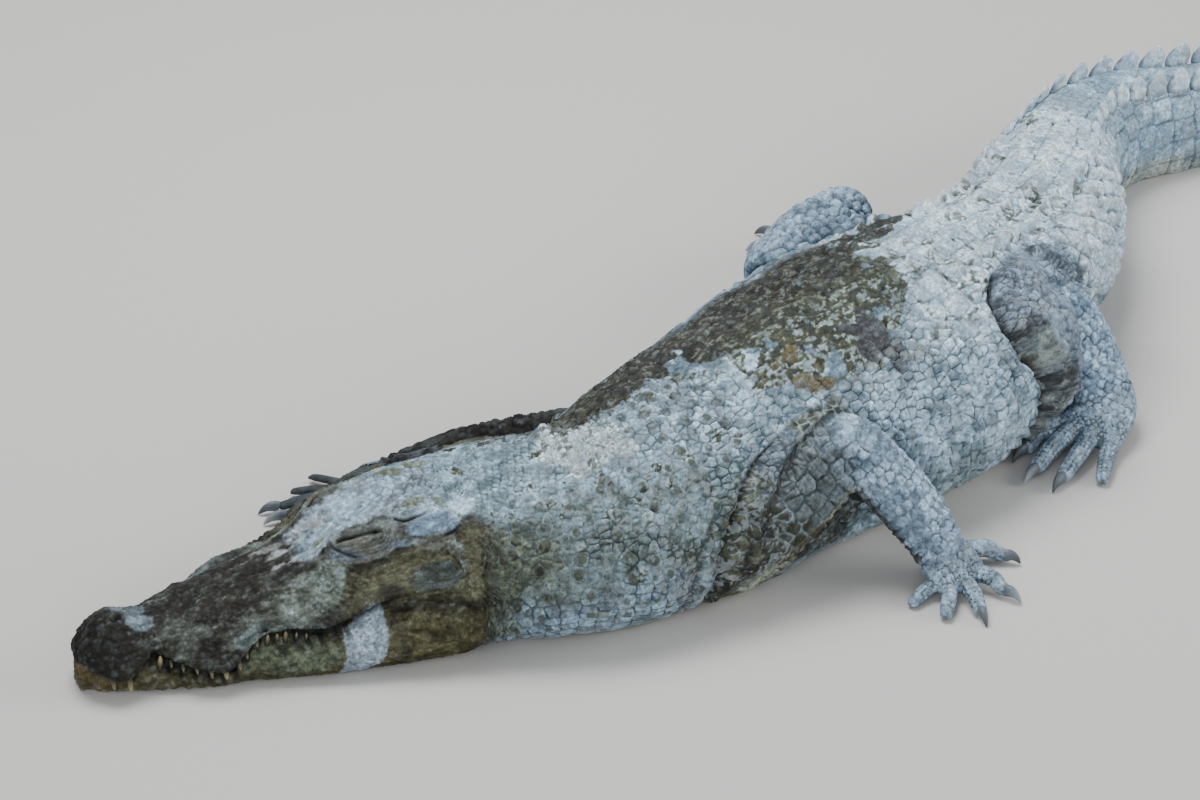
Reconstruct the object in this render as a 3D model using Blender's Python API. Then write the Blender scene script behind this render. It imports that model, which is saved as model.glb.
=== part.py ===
"""Saltwater crocodile, life size, lying on its belly with its chin and jaw on the floor.

The back follows one plan curve from snout to tail tip. Neck, trunk and tail are
lofted along it, the head is lofted from its own half sections, and the limbs are
tapered tubes cut where they meet their neighbours. Everything that bears on the
floor is cut flat at height 0. Neighbouring pieces keep a 0.3 mm gap.
"""
import math

import bmesh
import bpy
import numpy as np

for _old in list(bpy.data.objects):
    bpy.data.objects.remove(_old, do_unlink=True)

# ---------------------------------------------------------------- sizes (metres)
HEAD = 0.520            # head length, snout tip to rear edge of the skull table
HEAD_END = 0.560        # where the head meets the neck, measured along the back
NECK_END = 0.900        # neck meets trunk
LOIN = 1.400            # chest half of the trunk meets the loin half
TAIL_ROOT = 1.930       # trunk meets tail
CREST_FROM = 2.020      # first scute of the double tail crest
CREST_JOIN = 2.900      # the two crests become one
TAIL_MID = 2.460
TAIL_THIN = 3.400
LENGTH = 3.930          # snout tip to tail tip along the back
ORIGIN = (1.8686, -0.0543)    # plan point, in the head's own layout, that becomes the world origin

# station along the back, plan bearing of the back there (degrees)
BENDS = ((0.0, -9), (0.50, -10), (0.557, -27), (0.563, -27), (0.62, -36), (0.68, -31), (0.76, -14), (0.85, 0),
         (1.00, 7), (1.15, 9), (1.30, 11), (1.45, 19), (1.60, 28), (1.75, 32), (1.90, 37),
         (2.05, 38), (2.20, 28), (2.30, 8), (2.40, -7), (2.50, -13), (2.65, -14),
         (2.90, -14), (3.20, -8), (3.50, 2), (3.80, 9), (4.00, 12))
# station, half width on the right, height of the back, height of the widest line, half width on the left
GIRTH = ((0.56, 0.194, 0.188, 0.080, 0.200), (0.66, 0.190, 0.210, 0.086, 0.194), (0.76, 0.200, 0.236, 0.096, 0.192),
         (0.90, 0.220, 0.268, 0.108, 0.190), (1.03, 0.232, 0.288, 0.116, 0.196), (1.15, 0.250, 0.304, 0.122, 0.214),
         (1.30, 0.258, 0.314, 0.126, 0.228), (1.43, 0.240, 0.310, 0.128, 0.214), (1.52, 0.210, 0.300, 0.128, 0.172),
         (1.60, 0.172, 0.286, 0.128, 0.146), (1.70, 0.140, 0.266, 0.124, 0.142), (1.80, 0.126, 0.250, 0.118, 0.152),
         (1.88, 0.122, 0.240, 0.113, 0.148), (2.00, 0.118, 0.224, 0.104, 0.122), (2.20, 0.102, 0.196, 0.090, 0.086),
         (2.40, 0.086, 0.172, 0.078, 0.068), (2.60, 0.073, 0.158, 0.070, 0.063), (2.90, 0.060, 0.138, 0.060, 0.058),
         (3.20, 0.045, 0.114, 0.049, 0.045), (3.50, 0.031, 0.088, 0.039, 0.031), (3.75, 0.018, 0.060, 0.028, 0.018),
         (3.93, 0.006, 0.028, 0.012, 0.006))


def curve(table, column=1):
    """Smooth curve through a table of stations that never overshoots them."""
    x = np.array([row[0] for row in table], float)
    y = np.array([row[column] for row in table], float)
    h, d = np.diff(x), np.diff(y) / np.diff(x)
    m = np.zeros(len(x))
    m[0], m[-1] = d[0], d[-1]
    for i in range(1, len(x) - 1):
        if d[i - 1] * d[i] > 0:
            a, b = 2 * h[i] + h[i - 1], h[i] + 2 * h[i - 1]
            m[i] = (a + b) / (a / d[i - 1] + b / d[i])

    def at(v):
        v = np.clip(np.asarray(v, float), x[0], x[-1])
        i = np.clip(np.searchsorted(x, v, side="right") - 1, 0, len(x) - 2)
        t = (v - x[i]) / h[i]
        return ((2 * t**3 - 3 * t**2 + 1) * y[i] + (t**3 - 2 * t**2 + t) * h[i] * m[i]
                + (3 * t**2 - 2 * t**3) * y[i + 1] + (t**3 - t**2) * h[i] * m[i + 1])
    return at


bearing = curve(BENDS)
right_width, back_height, widest, left_width = (curve(GIRTH, k) for k in (1, 2, 3, 4))

_S = np.linspace(-0.05, 4.05, 4101)
_H = np.radians(bearing(_S))
_STEP = _S[1] - _S[0]
_X = np.concatenate([[0], np.cumsum((np.cos(_H[:-1]) + np.cos(_H[1:])) / 2 * _STEP)])
_Y = np.concatenate([[0], np.cumsum((np.sin(_H[:-1]) + np.sin(_H[1:])) / 2 * _STEP)])
_X -= np.interp(0.0, _S, _X)
_Y -= np.interp(0.0, _S, _Y)


def spine(s):
    """Plan point and bearing (radians) of the back's midline at station s."""
    return (np.interp(s, _S, _X) - ORIGIN[0], np.interp(s, _S, _Y) - ORIGIN[1],
            np.radians(bearing(s)))


def place(s, left, z):
    """World point at station s, a distance left of the midline, at height z."""
    x, y, h = spine(s)
    return np.stack([x + np.sin(h) * left, y - np.cos(h) * left, np.asarray(z) + 0 * x], -1)


def body_section(s, angle, grow=0.0):
    """Left offset and height round the body. Angle 0 is the back, pi/2 the left side, pi the belly."""
    top, mid = back_height(s) + grow, widest(s)
    c, q = np.cos(angle), np.sin(angle)
    w = np.where(q > 0, left_width(s), right_width(s)) + grow
    squash = np.interp(s, (0.9, 1.3, 2.0, 2.8), (1.0, 1.0, 0.86, 0.82))
    left = w * np.sign(q) * np.abs(q) ** np.where(c > 0, squash, 0.86)
    up = mid + (top - mid) * np.maximum(c, 0) ** np.interp(s, (0.6, 1.2, 2.1), (0.95, 1.0, 1.0))
    down = mid - mid * 1.22 * np.maximum(-c, 0) ** 0.92
    z = np.where(c > 0, up, down)
    return left, np.maximum(z, -min(grow, 0) if grow < 0 else 0.0 - grow)


# ---------------------------------------------------------------- head, in head lengths
# station from the snout tip, value
LIP = ((0, .096), (.01, .088), (.038, .062), (.07, .056), (.115, .053), (.145, .084), (.172, .102),
       (.192, .088), (.215, .076), (.245, .067), (.28, .062), (.32, .055), (.355, .060), (.39, .092),
       (.422, .120), (.458, .143), (.50, .142), (.56, .130), (.60, .127), (.66, .145), (.705, .167),
       (.767, .195), (.85, .205), (1.09, .210))
CROWN = ((0, .104), (.01, .132), (.03, .160), (.06, .182), (.10, .190), (.14, .184), (.20, .172),
         (.27, .170), (.33, .184), (.42, .200), (.50, .210), (.58, .220), (.66, .245), (.72, .278),
         (.77, .302), (.83, .330), (.90, .348), (.98, .350), (1.02, .352), (1.09, .386))
RIDGE_OUT = ((0, .018), (.05, .045), (.10, .055), (.15, .050), (.25, .060), (.40, .072), (.55, .082),
             (.66, .098), (.72, .110), (.78, .114), (.83, .118), (.90, .128), (1.0, .138), (1.09, .190))
RIDGE_UP = ((0, .100), (.01, .126), (.03, .153), (.06, .174), (.10, .182), (.15, .172), (.27, .167), (.33, .182),
            (.42, .200), (.50, .214), (.58, .230), (.66, .274), (.72, .318), (.77, .330), (.83, .338),
            (.90, .350), (.98, .346), (1.03, .340), (1.09, .345))
CHEEK_OUT = ((0, .027), (.01, .050), (.03, .074), (.10, .103), (.187, .094), (.27, .132), (.36, .162), (.45, .162),
             (.58, .178), (.68, .194), (.75, .200), (.83, .205), (.92, .218), (1.0, .240), (1.09, .300))
CHEEK_UP = ((0, .096), (.03, .122), (.10, .138), (.187, .142), (.27, .128), (.36, .130), (.45, .152),
            (.58, .168), (.68, .198), (.75, .228), (.83, .240), (.92, .248), (1.0, .258), (1.09, .278))
UPPER_OUT = ((0, .028), (.01, .060), (.03, .092), (.07, .118), (.11, .122), (.15, .110), (.180, .106),
             (.21, .120), (.25, .152), (.29, .182), (.33, .198), (.38, .204), (.43, .200), (.50, .210),
             (.58, .230), (.68, .254), (.78, .282), (.86, .306), (.95, .334), (1.02, .356), (1.09, .378))
LOWER_OUT = ((.02, .030), (.04, .058), (.07, .078), (.11, .098), (.15, .116), (.187, .134), (.23, .150), (.28, .172),
             (.34, .192), (.40, .206), (.47, .232), (.575, .274), (.70, .314), (.80, .338), (.915, .362),
             (1.0, .382), (1.09, .396))
LOWER_MID = ((0, .030), (.30, .030), (.42, .050), (.60, .075), (.80, .110), (1.0, .140), (1.09, .152))

lip, crown = curve(LIP), curve(CROWN)
ridge_out, ridge_up = curve(RIDGE_OUT), curve(RIDGE_UP)
cheek_out, cheek_up = curve(CHEEK_OUT), curve(CHEEK_UP)
upper_out, lower_out, lower_mid = curve(UPPER_OUT), curve(LOWER_OUT), curve(LOWER_MID)


def through(points, steps):
    """Smooth path through a few points, a list of (left, height) pairs."""
    p = np.array(points, float)
    p = np.vstack([2 * p[0] - p[1], p, 2 * p[-1] - p[-2]])
    out = []
    for i in range(1, len(p) - 2):
        for k in range(steps):
            t = k / steps
            out.append(0.5 * (2 * p[i] + (p[i + 1] - p[i - 1]) * t
                              + (2 * p[i - 1] - 5 * p[i] + 4 * p[i + 1] - p[i + 2]) * t * t
                              + (3 * p[i] - p[i - 1] - 3 * p[i + 1] + p[i + 2]) * t**3))
    out.append(p[-2])
    return np.array(out)


def upper_half(u, steps, grow=0.0):
    """Half section of the upper jaw and skull, midline to lip, in metres."""
    w, zl = float(upper_out(u)), float(lip(u))
    a = (0.0, float(crown(u)))
    b = (float(ridge_out(u)), float(ridge_up(u)))
    c = (max(float(cheek_out(u)), b[0] + .004), float(cheek_up(u)))
    rise = .022 if u < .5 else .022 + (u - .5) * .05
    d = (w, min(zl + rise, (zl + c[1]) / 2 + .005))
    e = (w - .010, zl)
    half = through([a, b, c, d, e], steps) * HEAD
    return half


def lower_half(u, steps, grow=0.0):
    """Half section of the lower jaw, lip to belly midline, in metres."""
    w, zl, zm = float(lower_out(u)), float(lip(u)), float(lower_mid(u))
    zm = min(zm, zl * .62)
    inner = min(w - .006, float(upper_out(u)) - .018)
    if u > .80:
        inner = inner + (w - .004 - inner) * min(1, (u - .80) / .20)
    half = through([(inner, zl), (w, zm), (w * .93, zm * .25), (w * .80, -.006)], steps) * HEAD
    half[:, 1] = np.maximum(half[:, 1], 0.0)
    return half


# ---------------------------------------------------------------- limbs
# joint points (x, y, z) in the head's own layout, with half thickness across and up
LIMBS = {
    "fore_left": dict(
        upper=(((0.845, -.305, .085), .088, .092), ((0.905, -.325, .115), .082, .080),
               ((0.975, -.345, .155), .068, .066), ((1.035, -.362, .198), .046, .044)),
        lower=(((1.040, -.368, .192), .047, .046), ((1.082, -.420, .125), .052, .046),
               ((1.112, -.470, .056), .045, .036))),
    "fore_right": dict(
        upper=(((0.900, -.060, .105), .064, .064), ((0.820, .000, .098), .056, .052),
               ((0.745, .058, .086), .046, .043)),
        lower=(((0.745, .066, .083), .044, .041), ((0.680, .114, .066), .041, .037),
               ((0.612, .158, .040), .033, .028))),
    "hind_left": dict(
        upper=(((1.720, -.035, .150), .080, .085), ((1.630, -.105, .185), .078, .078),
               ((1.545, -.170, .198), .066, .062)),
        lower=(((1.545, -.175, .192), .064, .062), ((1.575, -.228, .125), .062, .056),
               ((1.592, -.280, .060), .048, .042))),
    "hind_right": dict(
        upper=(((1.640, .090, .100), .060, .060), ((1.520, .190, .106), .064, .062),
               ((1.385, .240, .098), .058, .056)),
        lower=(((1.390, .244, .092), .056, .054), ((1.480, .292, .098), .053, .053),
               ((1.592, .334, .088), .048, .050))),
}


def tube_rings(stations, sides, grow=0.0, floor=0.0, start="round", end="round", detail=3, around=0.0, caps=(0.0, 0.5, 0.82)):
    """Rings of a limb: stations are ((x, y, z), half across, half up)."""
    c = np.array([row[0] for row in stations], float) - np.array([ORIGIN[0], ORIGIN[1], 0.0])
    ra = np.array([row[1] for row in stations], float) + grow
    rb = np.array([row[2] for row in stations], float) + grow
    seg = np.concatenate([[0], np.cumsum(np.linalg.norm(np.diff(c, axis=0), axis=1))])
    seg = seg / seg[-1]
    fx, fy, fz = (curve(np.column_stack([seg, c[:, k]])) for k in range(3))
    fa, fb = curve(np.column_stack([seg, ra])), curve(np.column_stack([seg, rb]))
    v = np.linspace(0, 1, detail * (len(stations) - 1) + 1)
    ctr = np.stack([fx(v), fy(v), fz(v)], -1)
    tan = np.gradient(ctr, axis=0)
    tan /= np.linalg.norm(tan, axis=1)[:, None]
    rows = [(ctr[i], tan[i], float(fa(v[i])), float(fb(v[i]))) for i in range(len(v))]
    if start == "round":
        p, t, a, b = rows[0]
        r = min(a, b)
        rows = [(p - t * r * k, t, a * math.sqrt(1 - k * k), b * math.sqrt(1 - k * k)) for k in caps[:0:-1]] + rows
        first = p - t * r
    else:
        first = None
    if end == "round":
        p, t, a, b = rows[-1]
        r = min(a, b)
        rows = rows + [(p + t * r * k, t, a * math.sqrt(1 - k * k), b * math.sqrt(1 - k * k)) for k in caps[1:]]
        last = p + t * r
    else:
        last = None
    rings = []
    ang = np.arange(sides) * 2 * math.pi / sides + around
    for p, t, a, b in rows:
        side = np.cross(t, (0, 0, 1.0))
        side /= np.linalg.norm(side) + 1e-12
        up = np.cross(side, t)
        ring = p + np.outer(np.cos(ang) * a, side) + np.outer(np.sin(ang) * b, up)
        ring[:, 2] = np.maximum(ring[:, 2], floor - grow)
        rings.append(ring)
    for q in (first, last):
        if q is not None:
            q[2] = max(q[2], floor - grow + 0.0005)
    return rings, first, last


GAP = 0.0003            # between neighbouring pieces

# parts, each with its colour, roughness
SKIN_PALE = (0.46, 0.50, 0.50)
SKIN_DARK = (0.13, 0.13, 0.10)
SKIN_GREY = (0.30, 0.33, 0.35)
HORN = (0.28, 0.31, 0.36)
EYE = (0.16, 0.13, 0.07)


def material(name, colour, rough):
    mat = bpy.data.materials.new(name)
    mat.use_nodes = True
    shader = mat.node_tree.nodes["Principled BSDF"]
    shader.inputs["Base Color"].default_value = (*colour, 1.0)
    shader.inputs["Roughness"].default_value = rough
    shader.inputs["Metallic"].default_value = 0.0
    return mat


def obj_from(name, verts, faces, colour=SKIN_PALE, rough=0.7):
    mesh = bpy.data.meshes.new(name)
    bm = bmesh.new()
    vs = [bm.verts.new(v) for v in verts]
    for f in faces:
        bm.faces.new([vs[i] for i in f])
    bmesh.ops.remove_doubles(bm, verts=bm.verts, dist=1e-6)
    bmesh.ops.recalc_face_normals(bm, faces=bm.faces)
    bmesh.ops.triangulate(bm, faces=bm.faces)
    bm.to_mesh(mesh)
    bm.free()
    ob = bpy.data.objects.new(name, mesh)
    bpy.context.scene.collection.objects.link(ob)
    mesh.materials.append(material(name + "_mat", colour, rough))
    mesh.shade_smooth()
    mesh.set_sharp_from_angle(angle=math.radians(50))
    return ob


def loft(name, rings, first=None, last=None, colour=SKIN_PALE, rough=0.7):
    """Closed solid through rings of equal length, with flat or pointed ends."""
    n = len(rings[0])
    verts = [tuple(map(float, p)) for ring in rings for p in ring]
    faces = []
    for i in range(len(rings) - 1):
        for k in range(n):
            a, b = i * n + k, i * n + (k + 1) % n
            faces.append((a, b, b + n, a + n))
    for point, base in ((first, 0), (last, (len(rings) - 1) * n)):
        if point is None:
            faces.append(tuple(base + k for k in range(n)))
        else:
            verts.append(tuple(map(float, point)))
            for k in range(n):
                faces.append((base + k, base + (k + 1) % n, len(verts) - 1))
    return obj_from(name, verts, faces, colour, rough)


def apply_boolean(ob, other, operation):
    mod = ob.modifiers.new("cut", "BOOLEAN")
    mod.operation = operation
    mod.solver = "EXACT"
    mod.object = other
    bpy.context.view_layer.update()
    mesh = bpy.data.meshes.new_from_object(ob.evaluated_get(bpy.context.evaluated_depsgraph_get()))
    ob.modifiers.clear()
    keep = ob.data.materials[0]
    ob.data = mesh
    mesh.materials.clear()
    mesh.materials.append(keep)
    bpy.data.objects.remove(other, do_unlink=True)


def tidy(ob):
    """Drop slivers and loose chips left by cuts and keep the faces triangles."""
    bm = bmesh.new()
    bm.from_mesh(ob.data)
    bmesh.ops.remove_doubles(bm, verts=bm.verts, dist=2e-6)
    bmesh.ops.triangulate(bm, faces=[f for f in bm.faces if len(f.verts) > 3])
    islands, seen = [], set()
    for start in bm.verts:
        if start in seen:
            continue
        stack, island = [start], []
        seen.add(start)
        while stack:
            v = stack.pop()
            island.append(v)
            for e in v.link_edges:
                o = e.other_vert(v)
                if o not in seen:
                    seen.add(o)
                    stack.append(o)
        islands.append(island)
    islands.sort(key=len)
    for island in islands[:-1]:
        bmesh.ops.delete(bm, geom=island, context="VERTS")
    bm.to_mesh(ob.data)
    bm.free()
    ob.data.shade_smooth()
    ob.data.set_sharp_from_angle(angle=math.radians(50))


# ---------------------------------------------------------------- neck, trunk
def body_ring(s, sides, grow=0.0):
    ang = (np.arange(sides) + 0.5) * 2 * math.pi / sides
    left, z = body_section(np.full(sides, s), ang, grow)
    return place(np.full(sides, s), left, z)


# first and last station, rings
TUBES = {"neck": (HEAD_END, NECK_END, 6), "trunk_fore": (NECK_END, LOIN, 7), "trunk_hind": (LOIN, TAIL_ROOT, 9)}


def body_stations(part):
    s0, s1, count = TUBES[part]
    return np.linspace(s0 + GAP / 2, s1 - GAP / 2, count)


for _part in TUBES:
    loft(_part, [body_ring(s, 22) for s in body_stations(_part)])


def cut_by_body(ob, parts):
    """Cut by the same facets as the body pieces, one gap larger."""
    stations = np.concatenate([body_stations(part) for part in parts])
    apply_boolean(ob, loft("cutter", [body_ring(s, 22, GAP) for s in stations]), "DIFFERENCE")


# ---------------------------------------------------------------- tail with its crests
CREST_TALL = ((2.02, .010), (2.15, .020), (2.30, .030), (2.50, .036), (2.75, .044), (2.95, .052),
              (3.20, .050), (3.45, .040), (3.70, .026), (3.88, .014), (3.93, .006))
CREST_OFF = ((1.93, .080), (2.02, .076), (2.20, .062), (2.45, .044), (2.70, .026), (2.90, .0115))
crest_tall, crest_off = curve(CREST_TALL), curve(CREST_OFF)
SCUTE = (CREST_JOIN - CREST_FROM) / 18
FIN = (LENGTH - CREST_JOIN) / 18


def top_at(s, left):
    """Height of the back's own surface at a distance left of the midline."""
    a = np.linspace(0, math.pi / 2, 200) * (1 if left >= 0 else -1)
    l, z = body_section(np.full(200, s), a)
    return float(np.interp(abs(left), np.abs(l), z))


def tail_ring(s, tall, double, thick=0.0045):
    """Ring with one or two crests raised on it, 24 or 22 points."""
    half_angles = np.radians((60, 92, 126, 156))
    pts = []
    w = float(min(left_width(s), right_width(s)))
    if double:
        d = min(float(crest_off(s)), w * 0.62)
        t = min(thick, d * 0.45)
        marks = [(d - t, 0.0), (d, tall), (d + t, 0.0)]
        low = [(0.0, top_at(s, 0.0))]
    else:
        t = min(thick, w * 0.3)
        marks = [(t, 0.0)]
        low = [(0.0, top_at(s, 0.0) + tall)]
    belly = (0.0, float(body_section(np.array([s]), np.array([math.pi]))[1][0]))
    halves = []
    for sign in (1, -1):
        half = [(sign * m, top_at(s, sign * m) + h) for m, h in marks]
        l, z = body_section(np.full(len(half_angles), s), sign * half_angles)
        halves.append(half + list(zip(l, z)))
    ring = np.array(low + halves[0] + [belly] + halves[1][::-1])
    return place(np.full(len(ring), s), ring[:, 0], ring[:, 1])


def tail_stations(s0, s1, step, origin):
    out = []
    k = int(round((s0 - origin) / step))
    while origin + k * step < s1 - 1e-6:
        a = origin + k * step
        out += [(a, .12), (a + .70 * step, 1.0)]
        k += 1
    out.append((s1, .12))
    out[0] = (s0 + GAP / 2, .12)
    out[-1] = (s1 - GAP / 2, .12)
    return out


root = [(TAIL_ROOT + GAP / 2, 0.0), (CREST_FROM - 0.045, 0.15), (CREST_FROM, .12)] + tail_stations(CREST_FROM, TAIL_MID, SCUTE, CREST_FROM)[1:]
loft("tail_root", [tail_ring(s, float(crest_tall(s)) * k, True) for s, k in root])
mid = tail_stations(TAIL_MID, CREST_JOIN, SCUTE, CREST_FROM)
loft("tail_middle", [tail_ring(s, float(crest_tall(s)) * k, True) for s, k in mid])
thin_at = CREST_JOIN + 9 * FIN
fin = tail_stations(CREST_JOIN, thin_at, FIN, CREST_JOIN)
loft("tail_fin", [tail_ring(s, float(crest_tall(s)) * k, False) for s, k in fin])
tip = tail_stations(thin_at, LENGTH, FIN, CREST_JOIN)[:-1]
loft("tail_tip", [tail_ring(s, float(crest_tall(s)) * k, False) for s, k in tip],
     last=place(LENGTH + .004, 0.0, 0.012))


# ---------------------------------------------------------------- head
def head_rings(which, steps, stations, grow=0.0):
    rings = []
    for u in stations:
        half = upper_half(u, steps) if which == "upper" else lower_half(u, steps)
        s = np.full(len(half), u * HEAD)
        if which == "upper":
            half[-1, 1] += GAP / 2 + 0.00022
            mid = np.array([[0.0, half[-1, 1]]])
            left = half
            ring = np.vstack([half, mid, (half * (-1, 1))[:0:-1]])
        else:
            half[0, 1] -= GAP / 2 + 0.00022
            mid = np.array([[0.0, half[0, 1]]])
            base = np.array([[0.0, 0.0]])
            ring = np.vstack([mid, half, base, (half * (-1, 1))[::-1]])
        rings.append(place(np.full(len(ring), u * HEAD), ring[:, 0], ring[:, 1]))
    return rings


END = (HEAD_END - GAP / 2) / HEAD
AT = [0, .008, .024, .04, .07, .10, .13, .16, .187, .215, .25, .29, .33, .375, .41, .455, .50, .56,
      .62, .67, .72, .77, .83, .90, 1.0, END]
skull = loft("head", head_rings("upper", 2, AT), first=place(-.003, 0.0, .092 * HEAD), colour=SKIN_DARK)
jaw = loft("lower_jaw", head_rings("lower", 2, AT[2:]), first=place(.018 * HEAD, 0.0, .03 * HEAD), colour=SKIN_DARK)


def spike(base, tip, radius, sides=4, grow=0.0):
    """Cone from a base centre to a tip, in world coordinates."""
    base, tip = np.array(base, float), np.array(tip, float)
    t = tip - base
    t /= np.linalg.norm(t)
    base, tip, radius = base - t * grow, tip + t * grow * 4, radius + grow * 1.5
    side = np.cross(t, (0.3, 0.2, 0.93) if abs(t[2]) < .9 else (1.0, 0, 0))
    side /= np.linalg.norm(side)
    up = np.cross(side, t)
    ang = np.arange(sides) * 2 * math.pi / sides + .3
    ring = base + np.outer(np.cos(ang) * radius, side) + np.outer(np.sin(ang) * radius, up)
    return loft("cutter", [ring, ring + (tip - base) * .4 - (ring - base) * .2], last=tip)


# station, root height over the lip, length below the lip, all in head lengths
UPPER_TEETH = ((.058, .022, .030, .0042), (.100, .022, .040, .0050), (.268, .022, .020, .0034), (.300, .022, .026, .0040),
               (.335, .022, .034, .0050), (.372, .022, .026, .0042))
LOWER_TEETH = ((.187, .060, .028, .0052), (.450, .045, .018, .0042), (.497, .045, .020, .0042))
clear_jaw, clear_skull = [], []
for side in (1, -1):
    for u, root_up, drop, radius in UPPER_TEETH:
        y = (float(upper_out(u)) - .012) * HEAD
        z = float(lip(u)) * HEAD
        base = place(u * HEAD, side * (y - .001), z + root_up * HEAD)
        tip = place(u * HEAD + .001, side * (y + .002), max(z - drop * HEAD, .0015))
        apply_boolean(skull, spike(base, tip, radius), "UNION")
        clear_jaw.append((base, tip, radius))
    for u, root_down, rise, radius in LOWER_TEETH:
        y = (float(upper_out(u)) + .0085) * HEAD
        z = float(lip(u)) * HEAD
        inner = (float(lower_out(u)) - .012) * HEAD
        base = place(u * HEAD, side * min(y - .004, inner), z - root_down * HEAD)
        tip = place(u * HEAD, side * (y + .004), z + rise * HEAD)
        apply_boolean(jaw, spike(base, tip, radius), "UNION")
        clear_skull.append((base, tip, radius))
for ob, teeth in ((jaw, clear_jaw), (skull, clear_skull)):
    for base, tip, radius in teeth:
        apply_boolean(ob, spike(base, tip, radius, grow=GAP), "DIFFERENCE")

EYE_AT = (.765, .0600, .1475, .0175)     # station (head lengths), out, height, radius


def ball(name, centre, radius, grow=0.0, segments=8, bands=5, colour=EYE):
    rings = []
    for i in range(1, bands):
        a = math.pi * i / bands
        r = (radius + grow) * math.sin(a)
        ang = np.arange(segments) * 2 * math.pi / segments
        rings.append(np.stack([centre[0] + r * np.cos(ang), centre[1] + r * np.sin(ang),
                               np.full(segments, centre[2] - (radius + grow) * math.cos(a))], -1))
    return loft(name, rings, first=(centre[0], centre[1], centre[2] - radius - grow),
                last=(centre[0], centre[1], centre[2] + radius + grow), colour=colour, rough=.25)


for side, name in ((1, "eye_left"), (-1, "eye_right")):
    c = place(EYE_AT[0] * HEAD, side * EYE_AT[1], EYE_AT[2])
    apply_boolean(skull, ball("cutter", c, EYE_AT[3], grow=GAP), "DIFFERENCE")
    ball(name, c, EYE_AT[3])

# ---------------------------------------------------------------- limbs
BODY_CUT = {"fore_left": ("neck", "trunk_fore"), "fore_right": ("neck", "trunk_fore"),
            "hind_left": ("trunk_fore", "trunk_hind"), "hind_right": ("trunk_fore", "trunk_hind")}


def limb_piece(name, stations, grow=0.0, sides=10, colour=SKIN_GREY, detail=2, caps=(0.0, 0.6), **kw):
    rings, first, last = tube_rings(stations, sides, grow=grow, detail=detail, around=math.pi / sides, caps=caps, **kw)
    return loft(name, rings, first, last, colour=colour)


# digits: base, knuckle, end of the fleshy toe, half width, claw length (0 = none)
FEET = {
    "fore_left": dict(palm=(((1.116, -.464, .050), .040, .032), ((1.118, -.490, .034), .046, .028), ((1.118, -.516, .020), .046, .019)),
                      digits=(((1.140, -.470, .030), (1.196, -.476, .022), (1.212, -.494, .013), .0135, .016),
                              ((1.130, -.505, .026), (1.152, -.540, .022), (1.156, -.562, .013), .0130, .022),
                              ((1.116, -.520, .022), (1.108, -.556, .018), (1.098, -.580, .011), .0125, .022),
                              ((1.100, -.516, .020), (1.070, -.546, .016), (1.052, -.562, .010), .0110, 0.0),
                              ((1.090, -.500, .020), (1.056, -.506, .014), (1.036, -.510, .009), .0105, 0.0))),
    "fore_right": dict(palm=(((.608, .159, .039), .031, .026), ((.574, .175, .030), .038, .024), ((.545, .185, .018), .042, .016)),
                       digits=(((.550, .162, .018), (.500, .160, .017), (.468, .168, .011), .0120, .024),
                               ((.540, .176, .018), (.486, .185, .018), (.454, .194, .012), .0125, .026),
                               ((.540, .190, .018), (.492, .208, .017), (.460, .221, .011), .0120, .024),
                               ((.548, .202, .017), (.516, .230, .014), (.496, .248, .009), .0105, 0.0),
                               ((.562, .208, .016), (.550, .244, .013), (.540, .268, .009), .0100, 0.0))),
    "hind_left": dict(palm=(((1.592, -.290, .050), .047, .040), ((1.566, -.312, .038), .052, .030), ((1.532, -.324, .028), .058, .022)),
                      digits=(((1.535, -.284, .028), (1.474, -.282, .024), (1.440, -.290, .013), .0135, .026),
                              ((1.530, -.306, .030), (1.463, -.324, .025), (1.414, -.342, .014), .0145, .028),
                              ((1.540, -.330, .030), (1.476, -.362, .024), (1.430, -.382, .013), .0140, .026),
                              ((1.560, -.350, .026), (1.506, -.390, .019), (1.472, -.420, .012), .0130, 0.0))),
    "hind_right": dict(palm=(((1.608, .342, .060), .042, .040), ((1.602, .366, .044), .048, .034), ((1.592, .388, .028), .052, .022)),
                       digits=(((1.566, .376, .026), (1.536, .392, .022), (1.516, .402, .012), .0130, .022),
                               ((1.574, .396, .026), (1.546, .422, .024), (1.526, .438, .013), .0140, .026),
                               ((1.590, .406, .026), (1.574, .444, .022), (1.562, .468, .012), .0135, .026),
                               ((1.608, .408, .024), (1.608, .446, .018), (1.606, .472, .011), .0125, 0.0))),
}


def claw(name, at, toward, length, radius, colour=HORN):
    """Curved claw that starts just clear of the toe's end."""
    at, toward = np.array(at, float), np.array(toward, float)
    t = toward / np.linalg.norm(toward)
    rings = []
    for k, r in ((0.0, 1.0), (.55, .74)):
        p = at + t * length * k
        p[2] = p[2] + .004 * math.sin(math.pi * min(1, k + .1)) - at[2] * .55 * k * k
        side = np.cross(t, (0, 0, 1.0))
        side /= np.linalg.norm(side)
        up = np.cross(side, t)
        ang = np.arange(5) * 2 * math.pi / 5 + math.pi / 2
        ring = p + np.outer(np.cos(ang) * radius * r * .85, side) + np.outer(np.sin(ang) * radius * r, up)
        ring[:, 2] = np.maximum(ring[:, 2], 0.0)
        rings.append(ring)
    end = at + t * length
    end[2] = .0022
    return loft(name, rings, last=end, colour=colour, rough=.35)


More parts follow.
